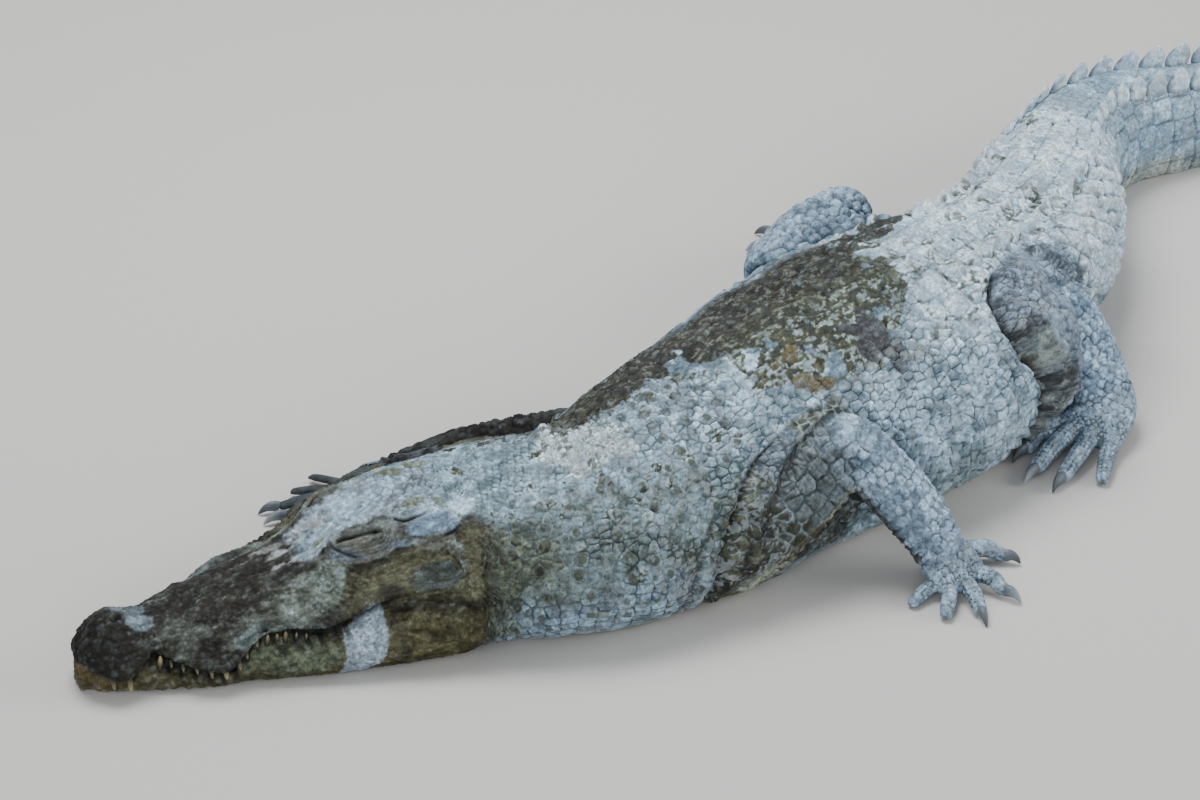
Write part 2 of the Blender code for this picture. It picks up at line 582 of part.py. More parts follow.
for limb in ("fore_left", "fore_right", "hind_left", "hind_right"):
    spec, foot = LIMBS[limb], FEET[limb]
    high, low, end = (("upper_arm_", "forearm_", "hand_") if limb.startswith("fore") else ("thigh_", "shank_", "foot_"))
    tag = limb.split("_")[1]
    top = limb_piece(high + tag, spec["upper"])
    cut_by_body(top, BODY_CUT[limb])
    bottom = limb_piece(low + tag, spec["lower"])
    apply_boolean(bottom, limb_piece("cutter", spec["upper"], grow=GAP), "DIFFERENCE")
    cut_by_body(bottom, BODY_CUT[limb])
    sole = limb_piece(end + tag, foot["palm"], detail=1)
    shift = np.array([ORIGIN[0], ORIGIN[1], 0.0])
    for i, (a, b, c, r, claw_long) in enumerate(foot["digits"]):
        digit = limb_piece("cutter", ((a, r * 1.15, r * 1.0), (b, r, r * .95), (c, r * .86, r * .80)), sides=5, detail=1, start="flat")
        apply_boolean(sole, digit, "UNION")
        if claw_long:
            b_, c_ = np.array(b) - shift, np.array(c) - shift
            t = c_ - b_
            t[2] = 0
            t /= np.linalg.norm(t)
            at = c_ + t * (r * .80 + GAP * 1.3)
            at[2] = c[2] * .92
            claw("claw_%s_%s_%d" % (limb.split("_")[0], tag, i + 1), at, t, claw_long, r * .62)
    apply_boolean(sole, limb_piece("cutter", spec["lower"], grow=GAP), "DIFFERENCE")
    cut_by_body(sole, BODY_CUT[limb])
    for ob in (top, bottom, sole):
        tidy(ob)
tidy(skull)
tidy(jaw)
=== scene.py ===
"""Looks of the resting saltwater crocodile: skin, scales, crest, claws, teeth and eyes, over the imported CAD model."""
import math

import bpy
import numpy as np
from mathutils.kdtree import KDTree
from mathutils.bvhtree import BVHTree
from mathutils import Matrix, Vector


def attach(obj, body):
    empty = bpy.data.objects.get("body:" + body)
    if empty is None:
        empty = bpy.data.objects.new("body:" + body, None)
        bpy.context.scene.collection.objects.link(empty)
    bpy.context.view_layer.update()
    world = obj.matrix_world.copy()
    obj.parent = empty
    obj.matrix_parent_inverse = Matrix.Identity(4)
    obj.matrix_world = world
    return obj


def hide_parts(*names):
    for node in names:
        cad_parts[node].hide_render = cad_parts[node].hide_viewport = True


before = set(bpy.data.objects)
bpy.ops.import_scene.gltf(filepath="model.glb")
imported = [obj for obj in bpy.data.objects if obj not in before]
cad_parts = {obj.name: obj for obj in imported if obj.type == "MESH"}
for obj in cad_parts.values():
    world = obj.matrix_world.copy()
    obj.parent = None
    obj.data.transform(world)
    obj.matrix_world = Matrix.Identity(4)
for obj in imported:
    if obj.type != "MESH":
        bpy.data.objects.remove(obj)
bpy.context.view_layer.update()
rng = np.random.default_rng(11)

# ---------------------------------------------------------------- sizes (metres)
HEAD = 0.520            # head length, snout tip to rear edge of the skull table
HEAD_END = 0.560        # where the head meets the neck, measured along the back
NECK_END = 0.900        # neck meets trunk
LOIN = 1.400            # chest half of the trunk meets the loin half
TAIL_ROOT = 1.930       # trunk meets tail
CREST_FROM = 2.020      # first scute of the double tail crest
CREST_JOIN = 2.900      # the two crests become one
TAIL_MID = 2.460
TAIL_THIN = 3.400
LENGTH = 3.930          # snout tip to tail tip along the back
ORIGIN = (1.8686, -0.0543)    # plan point, in the head's own layout, that becomes the world origin

# station along the back, plan bearing of the back there (degrees)
BENDS = ((0.0, -9), (0.50, -10), (0.557, -27), (0.563, -27), (0.62, -36), (0.68, -31), (0.76, -14), (0.85, 0),
         (1.00, 7), (1.15, 9), (1.30, 11), (1.45, 19), (1.60, 28), (1.75, 32), (1.90, 37),
         (2.05, 38), (2.20, 28), (2.30, 8), (2.40, -7), (2.50, -13), (2.65, -14),
         (2.90, -14), (3.20, -8), (3.50, 2), (3.80, 9), (4.00, 12))
# station, half width on the right, height of the back, height of the widest line, half width on the left
GIRTH = ((0.56, 0.194, 0.188, 0.080, 0.200), (0.66, 0.190, 0.210, 0.086, 0.194), (0.76, 0.200, 0.236, 0.096, 0.192),
         (0.90, 0.220, 0.268, 0.108, 0.190), (1.03, 0.232, 0.288, 0.116, 0.196), (1.15, 0.250, 0.304, 0.122, 0.214),
         (1.30, 0.258, 0.314, 0.126, 0.228), (1.43, 0.240, 0.310, 0.128, 0.214), (1.52, 0.210, 0.300, 0.128, 0.172),
         (1.60, 0.172, 0.286, 0.128, 0.146), (1.70, 0.140, 0.266, 0.124, 0.142), (1.80, 0.126, 0.250, 0.118, 0.152),
         (1.88, 0.122, 0.240, 0.113, 0.148), (2.00, 0.118, 0.224, 0.104, 0.122), (2.20, 0.102, 0.196, 0.090, 0.086),
         (2.40, 0.086, 0.172, 0.078, 0.068), (2.60, 0.073, 0.158, 0.070, 0.063), (2.90, 0.060, 0.138, 0.060, 0.058),
         (3.20, 0.045, 0.114, 0.049, 0.045), (3.50, 0.031, 0.088, 0.039, 0.031), (3.75, 0.018, 0.060, 0.028, 0.018),
         (3.93, 0.006, 0.028, 0.012, 0.006))


def curve(table, column=1):
    """Smooth curve through a table of stations that never overshoots them."""
    x = np.array([row[0] for row in table], float)
    y = np.array([row[column] for row in table], float)
    h, d = np.diff(x), np.diff(y) / np.diff(x)
    m = np.zeros(len(x))
    m[0], m[-1] = d[0], d[-1]
    for i in range(1, len(x) - 1):
        if d[i - 1] * d[i] > 0:
            a, b = 2 * h[i] + h[i - 1], h[i] + 2 * h[i - 1]
            m[i] = (a + b) / (a / d[i - 1] + b / d[i])

    def at(v):
        v = np.clip(np.asarray(v, float), x[0], x[-1])
        i = np.clip(np.searchsorted(x, v, side="right") - 1, 0, len(x) - 2)
        t = (v - x[i]) / h[i]
        return ((2 * t**3 - 3 * t**2 + 1) * y[i] + (t**3 - 2 * t**2 + t) * h[i] * m[i]
                + (3 * t**2 - 2 * t**3) * y[i + 1] + (t**3 - t**2) * h[i] * m[i + 1])
    return at


bearing = curve(BENDS)
right_width, back_height, widest, left_width = (curve(GIRTH, k) for k in (1, 2, 3, 4))

_S = np.linspace(-0.05, 4.05, 4101)
_H = np.radians(bearing(_S))
_STEP = _S[1] - _S[0]
_X = np.concatenate([[0], np.cumsum((np.cos(_H[:-1]) + np.cos(_H[1:])) / 2 * _STEP)])
_Y = np.concatenate([[0], np.cumsum((np.sin(_H[:-1]) + np.sin(_H[1:])) / 2 * _STEP)])
_X -= np.interp(0.0, _S, _X)
_Y -= np.interp(0.0, _S, _Y)


def spine(s):
    """Plan point and bearing (radians) of the back's midline at station s."""
    return (np.interp(s, _S, _X) - ORIGIN[0], np.interp(s, _S, _Y) - ORIGIN[1],
            np.radians(bearing(s)))


def place(s, left, z):
    """World point at station s, a distance left of the midline, at height z."""
    x, y, h = spine(s)
    return np.stack([x + np.sin(h) * left, y - np.cos(h) * left, np.asarray(z) + 0 * x], -1)


def body_section(s, angle, grow=0.0):
    """Left offset and height round the body. Angle 0 is the back, pi/2 the left side, pi the belly."""
    top, mid = back_height(s) + grow, widest(s)
    c, q = np.cos(angle), np.sin(angle)
    w = np.where(q > 0, left_width(s), right_width(s)) + grow
    squash = np.interp(s, (0.9, 1.3, 2.0, 2.8), (1.0, 1.0, 0.86, 0.82))
    left = w * np.sign(q) * np.abs(q) ** np.where(c > 0, squash, 0.86)
    up = mid + (top - mid) * np.maximum(c, 0) ** np.interp(s, (0.6, 1.2, 2.1), (0.95, 1.0, 1.0))
    down = mid - mid * 1.22 * np.maximum(-c, 0) ** 0.92
    z = np.where(c > 0, up, down)
    return left, np.maximum(z, -min(grow, 0) if grow < 0 else 0.0 - grow)


# ---------------------------------------------------------------- head, in head lengths
# station from the snout tip, value
LIP = ((0, .096), (.01, .088), (.038, .062), (.07, .056), (.115, .053), (.145, .084), (.172, .102),
       (.192, .088), (.215, .076), (.245, .067), (.28, .062), (.32, .055), (.355, .060), (.39, .092),
       (.422, .120), (.458, .143), (.50, .142), (.56, .130), (.60, .127), (.66, .145), (.705, .167),
       (.767, .195), (.85, .205), (1.09, .210))
CROWN = ((0, .104), (.01, .132), (.03, .160), (.06, .182), (.10, .190), (.14, .184), (.20, .172),
         (.27, .170), (.33, .184), (.42, .200), (.50, .210), (.58, .220), (.66, .245), (.72, .278),
         (.77, .302), (.83, .330), (.90, .348), (.98, .350), (1.02, .352), (1.09, .386))
RIDGE_OUT = ((0, .018), (.05, .045), (.10, .055), (.15, .050), (.25, .060), (.40, .072), (.55, .082),
             (.66, .098), (.72, .110), (.78, .114), (.83, .118), (.90, .128), (1.0, .138), (1.09, .190))
RIDGE_UP = ((0, .100), (.01, .126), (.03, .153), (.06, .174), (.10, .182), (.15, .172), (.27, .167), (.33, .182),
            (.42, .200), (.50, .214), (.58, .230), (.66, .274), (.72, .318), (.77, .330), (.83, .338),
            (.90, .350), (.98, .346), (1.03, .340), (1.09, .345))
CHEEK_OUT = ((0, .027), (.01, .050), (.03, .074), (.10, .103), (.187, .094), (.27, .132), (.36, .162), (.45, .162),
             (.58, .178), (.68, .194), (.75, .200), (.83, .205), (.92, .218), (1.0, .240), (1.09, .300))
CHEEK_UP = ((0, .096), (.03, .122), (.10, .138), (.187, .142), (.27, .128), (.36, .130), (.45, .152),
            (.58, .168), (.68, .198), (.75, .228), (.83, .240), (.92, .248), (1.0, .258), (1.09, .278))
UPPER_OUT = ((0, .028), (.01, .060), (.03, .092), (.07, .118), (.11, .122), (.15, .110), (.180, .106),
             (.21, .120), (.25, .152), (.29, .182), (.33, .198), (.38, .204), (.43, .200), (.50, .210),
             (.58, .230), (.68, .254), (.78, .282), (.86, .306), (.95, .334), (1.02, .356), (1.09, .378))
LOWER_OUT = ((.02, .030), (.04, .058), (.07, .078), (.11, .098), (.15, .116), (.187, .134), (.23, .150), (.28, .172),
             (.34, .192), (.40, .206), (.47, .232), (.575, .274), (.70, .314), (.80, .338), (.915, .362),
             (1.0, .382), (1.09, .396))
LOWER_MID = ((0, .030), (.30, .030), (.42, .050), (.60, .075), (.80, .110), (1.0, .140), (1.09, .152))

lip, crown = curve(LIP), curve(CROWN)
ridge_out, ridge_up = curve(RIDGE_OUT), curve(RIDGE_UP)
cheek_out, cheek_up = curve(CHEEK_OUT), curve(CHEEK_UP)
upper_out, lower_out, lower_mid = curve(UPPER_OUT), curve(LOWER_OUT), curve(LOWER_MID)


def through(points, steps):
    """Smooth path through a few points, a list of (left, height) pairs."""
    p = np.array(points, float)
    p = np.vstack([2 * p[0] - p[1], p, 2 * p[-1] - p[-2]])
    out = []
    for i in range(1, len(p) - 2):
        for k in range(steps):
            t = k / steps
            out.append(0.5 * (2 * p[i] + (p[i + 1] - p[i - 1]) * t
                              + (2 * p[i - 1] - 5 * p[i] + 4 * p[i + 1] - p[i + 2]) * t * t
                              + (3 * p[i] - p[i - 1] - 3 * p[i + 1] + p[i + 2]) * t**3))
    out.append(p[-2])
    return np.array(out)


def upper_half(u, steps, grow=0.0):
    """Half section of the upper jaw and skull, midline to lip, in metres."""
    w, zl = float(upper_out(u)), float(lip(u))
    a = (0.0, float(crown(u)))
    b = (float(ridge_out(u)), float(ridge_up(u)))
    c = (max(float(cheek_out(u)), b[0] + .004), float(cheek_up(u)))
    rise = .022 if u < .5 else .022 + (u - .5) * .05
    d = (w, min(zl + rise, (zl + c[1]) / 2 + .005))
    e = (w - .010, zl)
    half = through([a, b, c, d, e], steps) * HEAD
    return half


def lower_half(u, steps, grow=0.0):
    """Half section of the lower jaw, lip to belly midline, in metres."""
    w, zl, zm = float(lower_out(u)), float(lip(u)), float(lower_mid(u))
    zm = min(zm, zl * .62)
    inner = min(w - .006, float(upper_out(u)) - .018)
    if u > .80:
        inner = inner + (w - .004 - inner) * min(1, (u - .80) / .20)
    half = through([(inner, zl), (w, zm), (w * .93, zm * .25), (w * .80, -.006)], steps) * HEAD
    half[:, 1] = np.maximum(half[:, 1], 0.0)
    return half


# ---------------------------------------------------------------- limbs
# joint points (x, y, z) in the head's own layout, with half thickness across and up
LIMBS = {
    "fore_left": dict(
        upper=(((0.845, -.305, .085), .088, .092), ((0.905, -.325, .115), .082, .080),
               ((0.975, -.345, .155), .068, .066), ((1.035, -.362, .198), .046, .044)),
        lower=(((1.040, -.368, .192), .047, .046), ((1.082, -.420, .125), .052, .046),
               ((1.112, -.470, .056), .045, .036))),
    "fore_right": dict(
        upper=(((0.900, -.060, .105), .064, .064), ((0.820, .000, .098), .056, .052),
               ((0.745, .058, .086), .046, .043)),
        lower=(((0.745, .066, .083), .044, .041), ((0.680, .114, .066), .041, .037),
               ((0.612, .158, .040), .033, .028))),
    "hind_left": dict(
        upper=(((1.720, -.035, .150), .080, .085), ((1.630, -.105, .185), .078, .078),
               ((1.545, -.170, .198), .066, .062)),
        lower=(((1.545, -.175, .192), .064, .062), ((1.575, -.228, .125), .062, .056),
               ((1.592, -.280, .060), .048, .042))),
    "hind_right": dict(
        upper=(((1.640, .090, .100), .060, .060), ((1.520, .190, .106), .064, .062),
               ((1.385, .240, .098), .058, .056)),
        lower=(((1.390, .244, .092), .056, .054), ((1.480, .292, .098), .053, .053),
               ((1.592, .334, .088), .048, .050))),
}


def tube_rings(stations, sides, grow=0.0, floor=0.0, start="round", end="round", detail=3, around=0.0, caps=(0.0, 0.5, 0.82)):
    """Rings of a limb: stations are ((x, y, z), half across, half up)."""
    c = np.array([row[0] for row in stations], float) - np.array([ORIGIN[0], ORIGIN[1], 0.0])
    ra = np.array([row[1] for row in stations], float) + grow
    rb = np.array([row[2] for row in stations], float) + grow
    seg = np.concatenate([[0], np.cumsum(np.linalg.norm(np.diff(c, axis=0), axis=1))])
    seg = seg / seg[-1]
    fx, fy, fz = (curve(np.column_stack([seg, c[:, k]])) for k in range(3))
    fa, fb = curve(np.column_stack([seg, ra])), curve(np.column_stack([seg, rb]))
    v = np.linspace(0, 1, detail * (len(stations) - 1) + 1)
    ctr = np.stack([fx(v), fy(v), fz(v)], -1)
    tan = np.gradient(ctr, axis=0)
    tan /= np.linalg.norm(tan, axis=1)[:, None]
    rows = [(ctr[i], tan[i], float(fa(v[i])), float(fb(v[i]))) for i in range(len(v))]
    if start == "round":
        p, t, a, b = rows[0]
        r = min(a, b)
        rows = [(p - t * r * k, t, a * math.sqrt(1 - k * k), b * math.sqrt(1 - k * k)) for k in caps[:0:-1]] + rows
        first = p - t * r
    else:
        first = None
    if end == "round":
        p, t, a, b = rows[-1]
        r = min(a, b)
        rows = rows + [(p + t * r * k, t, a * math.sqrt(1 - k * k), b * math.sqrt(1 - k * k)) for k in caps[1:]]
        last = p + t * r
    else:
        last = None
    rings = []
    ang = np.arange(sides) * 2 * math.pi / sides + around
    for p, t, a, b in rows:
        side = np.cross(t, (0, 0, 1.0))
        side /= np.linalg.norm(side) + 1e-12
        up = np.cross(side, t)
        ring = p + np.outer(np.cos(ang) * a, side) + np.outer(np.sin(ang) * b, up)
        ring[:, 2] = np.maximum(ring[:, 2], floor - grow)
        rings.append(ring)
    for q in (first, last):
        if q is not None:
            q[2] = max(q[2], floor - grow + 0.0005)
    return rings, first, last

# ---------------------------------------------------------------- tail crest, teeth, feet
CREST_TALL = ((2.02, .010), (2.15, .020), (2.30, .030), (2.50, .036), (2.75, .044), (2.95, .052),
              (3.20, .050), (3.45, .040), (3.70, .026), (3.88, .014), (3.93, .006))
CREST_OFF = ((1.93, .080), (2.02, .076), (2.20, .062), (2.45, .044), (2.70, .026), (2.90, .0115))
crest_tall, crest_off = curve(CREST_TALL), curve(CREST_OFF)
SCUTE = (CREST_JOIN - CREST_FROM) / 18
FIN = (LENGTH - CREST_JOIN) / 18


def top_at(s, left):
    """Height of the back's own surface at a distance left of the midline."""
    a = np.linspace(0, math.pi / 2, 200) * (1 if left >= 0 else -1)
    l, z = body_section(np.full(200, s), a)
    return float(np.interp(abs(left), np.abs(l), z))


# station, root height over the lip, length below the lip, all in head lengths
UPPER_TEETH = ((.058, .022, .022, .0044), (.100, .022, .032, .0052), (.268, .022, .012, .0036), (.300, .022, .015, .0042),
               (.335, .022, .020, .0050), (.372, .022, .015, .0044))
LOWER_TEETH = ((.187, .060, .016, .0050), (.450, .045, .010, .0042), (.497, .045, .010, .0042))
EYE_AT = (.765, .0600, .1475, .0175)     # station (head lengths), out, height, radius

# digits: base, knuckle, end of the fleshy toe, half width, claw length (0 = none)
FEET = {
    "fore_left": dict(palm=(((1.116, -.464, .050), .040, .032), ((1.118, -.490, .034), .046, .028), ((1.118, -.516, .020), .046, .019)),
                      digits=(((1.140, -.470, .030), (1.196, -.476, .022), (1.212, -.494, .013), .0135, .016),
                              ((1.130, -.505, .026), (1.152, -.540, .022), (1.156, -.562, .013), .0130, .022),
                              ((1.116, -.520, .022), (1.108, -.556, .018), (1.098, -.580, .011), .0125, .022),
                              ((1.100, -.516, .020), (1.070, -.546, .016), (1.052, -.562, .010), .0110, 0.0),
                              ((1.090, -.500, .020), (1.056, -.506, .014), (1.036, -.510, .009), .0105, 0.0))),
    "fore_right": dict(palm=(((.608, .159, .039), .031, .026), ((.574, .175, .030), .038, .024), ((.545, .185, .018), .042, .016)),
                       digits=(((.550, .162, .018), (.500, .160, .017), (.468, .168, .011), .0120, .024),
                               ((.540, .176, .018), (.486, .185, .018), (.454, .194, .012), .0125, .026),
                               ((.540, .190, .018), (.492, .208, .017), (.460, .221, .011), .0120, .024),
                               ((.548, .202, .017), (.516, .230, .014), (.496, .248, .009), .0105, 0.0),
                               ((.562, .208, .016), (.550, .244, .013), (.540, .268, .009), .0100, 0.0))),
    "hind_left": dict(palm=(((1.592, -.290, .050), .047, .040), ((1.566, -.312, .038), .052, .030), ((1.532, -.324, .028), .058, .022)),
                      digits=(((1.535, -.284, .028), (1.474, -.282, .024), (1.440, -.290, .013), .0135, .026),
                              ((1.530, -.306, .030), (1.463, -.324, .025), (1.414, -.342, .014), .0145, .028),
                              ((1.540, -.330, .030), (1.476, -.362, .024), (1.430, -.382, .013), .0140, .026),
                              ((1.560, -.350, .026), (1.506, -.390, .019), (1.472, -.420, .012), .0130, 0.0))),
    "hind_right": dict(palm=(((1.608, .342, .060), .042, .040), ((1.602, .366, .044), .048, .034), ((1.592, .388, .028), .052, .022)),
                       digits=(((1.566, .376, .026), (1.536, .392, .022), (1.516, .402, .012), .0130, .022),
                               ((1.574, .396, .026), (1.546, .422, .024), (1.526, .438, .013), .0140, .026),
                               ((1.590, .406, .026), (1.574, .444, .022), (1.562, .468, .012), .0135, .026),
                               ((1.608, .408, .024), (1.608, .446, .018), (1.606, .472, .011), .0125, 0.0))),
}


# ---------------------------------------------------------------- helpers
def smooth(x, lo=0.0, hi=1.0):
    t = np.clip((np.asarray(x, float) - lo) / (hi - lo), 0, 1)
    return t * t * (3 - 2 * t)


def bump(x, centre, width):
    """1 at the centre, falling to 0 at centre +- width."""
    return smooth(1 - np.abs(np.asarray(x, float) - centre) / width)


def lattice(ix, iy, iz, seed):
    h = (ix * 374761393 + iy * 668265263 + iz * 1103515245 + seed * 974634777) & 0xFFFFFFFF
    h = ((h ^ (h >> 13)) * 1274126177) & 0xFFFFFFFF
    h = ((h ^ (h >> 15)) * 668265263) & 0xFFFFFFFF
    return ((h ^ (h >> 16)) & 0xFFFFFF) / float(0xFFFFFF)


def noise(p, size, seed=0):
    """Smooth value noise, 0 to 1."""
    q = np.asarray(p, float) / size + 1000.0
    i = np.floor(q).astype(np.int64)
    f = q - i
    f = f * f * (3 - 2 * f)
    out = 0.0
    for dx in (0, 1):
        wx = f[:, 0] if dx else 1 - f[:, 0]
        for dy in (0, 1):
            wy = f[:, 1] if dy else 1 - f[:, 1]
            for dz in (0, 1):
                wz = f[:, 2] if dz else 1 - f[:, 2]
                out = out + wx * wy * wz * lattice(i[:, 0] + dx, i[:, 1] + dy, i[:, 2] + dz, seed)
    return out


def fbm(p, size, seed=0, octaves=4):
    total, weight, amp = 0.0, 0.0, 1.0
    for k in range(octaves):
        total = total + amp * noise(p, size / 2**k, seed + 17 * k)
        weight += amp
        amp *= 0.55
    return np.clip((total / weight - 0.5) * 1.7 + 0.5, 0, 1)


def lin(r, g, b):
    """Linear colour from 0-255 sRGB values."""
    c = np.array((r, g, b), float) / 255
    return np.where(c <= 0.04045, c / 12.92, ((c + 0.055) / 1.055) ** 2.4)


def mix(a, b, t):
    t = np.asarray(t, float)
    if t.ndim == 1:
        t = t[:, None]
    return np.asarray(a) * (1 - t) + np.asarray(b) * t


# ---------------------------------------------------------------- closed shells of each part
SKIN_DEPTH = 0.0042     # how far the skin lies inside the solids


def shell_data(rings, first=None, last=None):
    n = len(rings[0])
    verts = np.concatenate([np.asarray(r, float) for r in rings])
    faces = []
    k = np.arange(n)
    for i in range(len(rings) - 1):
        a, b = i * n + k, i * n + (k + 1) % n
        faces.append(np.stack([a, b, b + n, a + n], 1))
    quads = np.concatenate(faces).tolist()
    extra = []
    for point, base in ((first, 0), (last, (len(rings) - 1) * n)):
        if point is None:
            point = np.mean(rings[0 if base == 0 else -1], axis=0)
        extra.append(point)
        c = len(verts) + len(extra) - 1
        quads += [[base + j, base + (j + 1) % n, c] for j in range(n)]
    return np.vstack([verts, np.array(extra)]), quads


def inset_ring(pts, depth):
    """Closed plan outline (left, height) moved inward."""
    d = np.roll(pts, -1, 0) - np.roll(pts, 1, 0)
    nrm = np.stack([d[:, 1], -d[:, 0]], 1)
    nrm /= np.linalg.norm(nrm, axis=1)[:, None] + 1e-9
    centre = pts.mean(0)
    sign = np.sign(np.sum(nrm * (pts - centre)))
    return pts - sign * nrm * depth


def body_depth(s):
    return np.minimum(SKIN_DEPTH, 0.34 * np.minimum(left_width(s), right_width(s)))


def body_shell(step, sides):
    ang = (np.arange(sides) + 0.5) * 2 * math.pi / sides
    rings = []
    for s in np.arange(0.553, LENGTH - 0.004, step):
        d = float(body_depth(s))
        l, z = body_section(np.full(sides, s), ang, -d)
        rings.append(place(np.full(sides, s), l, z))
    return shell_data(rings, last=place(LENGTH - .002, 0.0, 0.012))


def head_shell(step, steps):
    rings = []
    for u in np.concatenate([[0.0, .004, .009, .016], np.arange(.024, 1.086, step)]):
        up, low = upper_half(u, steps), lower_half(u, steps)
        half = np.vstack([up, low[1:]])
        ring = np.vstack([half, (half * (-1, 1))[-2:0:-1]])
        ring = inset_ring(ring, SKIN_DEPTH * (0.75 if u > .02 else 0.5))
        ring[:, 1] = np.maximum(ring[:, 1], .003)
        rings.append(place(np.full(len(ring), u * HEAD), ring[:, 0], ring[:, 1]))
    return shell_data(rings, first=place(.0005, 0.0, .09 * HEAD))


TUBES = []      # name, limb, kind, stations


for _limb, _spec in LIMBS.items():
    TUBES.append((_limb + "_upper", _limb, "upper", _spec["upper"]))
    TUBES.append((_limb + "_lower", _limb, "lower", _spec["lower"]))
    TUBES.append((_limb + "_palm", _limb, "palm", FEET[_limb]["palm"]))
    for _k, (_a, _b, _c, _r, _long) in enumerate(FEET[_limb]["digits"]):
        TUBES.append((_limb + "_digit%d" % _k, _limb, "digit",
                      ((_a, _r * 1.15, _r * 1.0), (_b, _r, _r * .95), (_c, _r * .86, _r * .80))))


def tube_shell(tube, detail, sides):
    kind = tube[2]
    depth = {"upper": .0035, "lower": .0035, "palm": .0025, "digit": .0015}[kind]
    rings, first, last = tube_rings(tube[3], sides, grow=-depth, detail=detail, caps=(0.0, .3, .55, .75, .88, .96))
    return shell_data(rings, first, last)


def web_shells(limb):
    """Thin skin between neighbouring toes."""
    out = []
    shift = np.array([ORIGIN[0], ORIGIN[1], 0.0])
    digits = FEET[limb]["digits"]
    reach = .62 if limb.startswith("hind") else .30
    for one, two in zip(digits[:-1], digits[1:]):
        rings = []
        for t in np.linspace(0, reach, 7):
            a = np.array(one[0]) * (1 - t) + np.array(one[1]) * t - shift
            b = np.array(two[0]) * (1 - t) + np.array(two[1]) * t - shift
            f = np.linspace(0, 1, 7)[:, None]
            sag = (t / reach) ** 2 * .010 * np.sin(np.pi * f[:, 0])
            mid = a * (1 - f) + b * f
            toward = (np.array(one[1]) - np.array(one[0]))
            toward = toward / np.linalg.norm(toward)
            mid = mid - toward[None, :] * sag[:, None]
            thick = .0035 - .0012 * t
            top, bottom = mid.copy(), mid.copy()
            top[:, 2] = np.maximum(mid[:, 2] * .72 + thick, .006)
            bottom[:, 2] = np.maximum(mid[:, 2] * .72 - thick, .0015)
            rings.append(np.vstack([top, bottom[::-1]]))
        out.append(shell_data(rings))
    return out


def all_shells(fine):
    shells = [body_shell(.008 if fine else .012, 96 if fine else 64), head_shell(.010 if fine else .016, 8)]
    shells += [tube_shell(t, 8, 28) for t in TUBES]
    for limb in FEET:
        shells += web_shells(limb)
    return shells


def mesh_from(name, verts, faces):
    mesh = bpy.data.meshes.new(name)
    mesh.from_pydata([tuple(v) for v in np.asarray(verts).tolist()], [], faces)
    mesh.update()
    return mesh


def remeshed(shells, voxel):
    """One closed surface round all shells: points, quads."""
    verts, faces, base = [], [], 0
    for v, f in shells:
        verts.append(v)
        faces += [[i + base for i in face] for face in f]
        base += len(v)
    mesh = mesh_from("shells", np.concatenate(verts), faces)
    ob = bpy.data.objects.new("shells", mesh)
    bpy.context.scene.collection.objects.link(ob)
    mod = ob.modifiers.new("remesh", "REMESH")
    mod.mode = "VOXEL"
    mod.voxel_size = voxel
    bpy.context.view_layer.update()
    done = ob.evaluated_get(bpy.context.evaluated_depsgraph_get()).to_mesh()
    n = len(done.vertices)
    pts = np.empty(n * 3)
    done.vertices.foreach_get("co", pts)
    pts = pts.reshape(-1, 3)
    loops = np.empty(len(done.loops), np.int32)
    done.loops.foreach_get("vertex_index", loops)
    sizes = np.empty(len(done.polygons), np.int32)
    done.polygons.foreach_get("loop_total", sizes)
    quads = loops.reshape(-1, 4) if np.all(sizes == 4) else loops[:len(sizes) * 4].reshape(-1, 4)
    bpy.data.objects.remove(ob, do_unlink=True)
    bpy.data.meshes.remove(mesh)
    return pts, quads.astype(np.int64)


def edges_of(quads):
    e = np.concatenate([quads[:, [0, 1]], quads[:, [1, 2]], quads[:, [2, 3]], quads[:, [3, 0]]])
    e.sort(axis=1)
    key = np.unique(e[:, 0] * (e.max() + 1) + e[:, 1])
    return np.stack([key // (e.max() + 1), key % (e.max() + 1)], 1)


def relax(pts, edges, weight, rounds):
    """Laplacian smoothing with a weight for each point."""
    n = len(pts)
    a, b = edges[:, 0], edges[:, 1]
    degree = np.bincount(a, minlength=n) + np.bincount(b, minlength=n)
    degree = np.maximum(degree, 1)
    pts = pts.copy()
    w = np.broadcast_to(np.asarray(weight, float), (n,))
    for _ in range(rounds):
        for k in range(3):
            c = pts[:, k]
            total = np.bincount(a, c[b], n) + np.bincount(b, c[a], n)
            pts[:, k] = c + w * (total / degree - c)
    return pts


def relax_field(field, edges, rounds):
    n = len(field)
    a, b = edges[:, 0], edges[:, 1]
    degree = np.maximum(np.bincount(a, minlength=n) + np.bincount(b, minlength=n), 1)
    for _ in range(rounds):
        field = .5 * field + .5 * (np.bincount(a, field[b], n) + np.bincount(b, field[a], n)) / degree
    return field


def normals_of(pts, quads):
    a = pts[quads[:, 2]] - pts[quads[:, 0]]
    b = pts[quads[:, 3]] - pts[quads[:, 1]]
    f = np.cross(a, b)
    out = np.zeros_like(pts)
    for k in range(4):
        for j in range(3):
            out[:, j] += np.bincount(quads[:, k], f[:, j], len(pts))
    out /= np.linalg.norm(out, axis=1)[:, None] + 1e-12
    return out


# ---------------------------------------------------------------- where a point lies on the animal
_CS = np.arange(0.0, LENGTH + .012, .01)
_CX, _CY, _CH = spine(_CS)


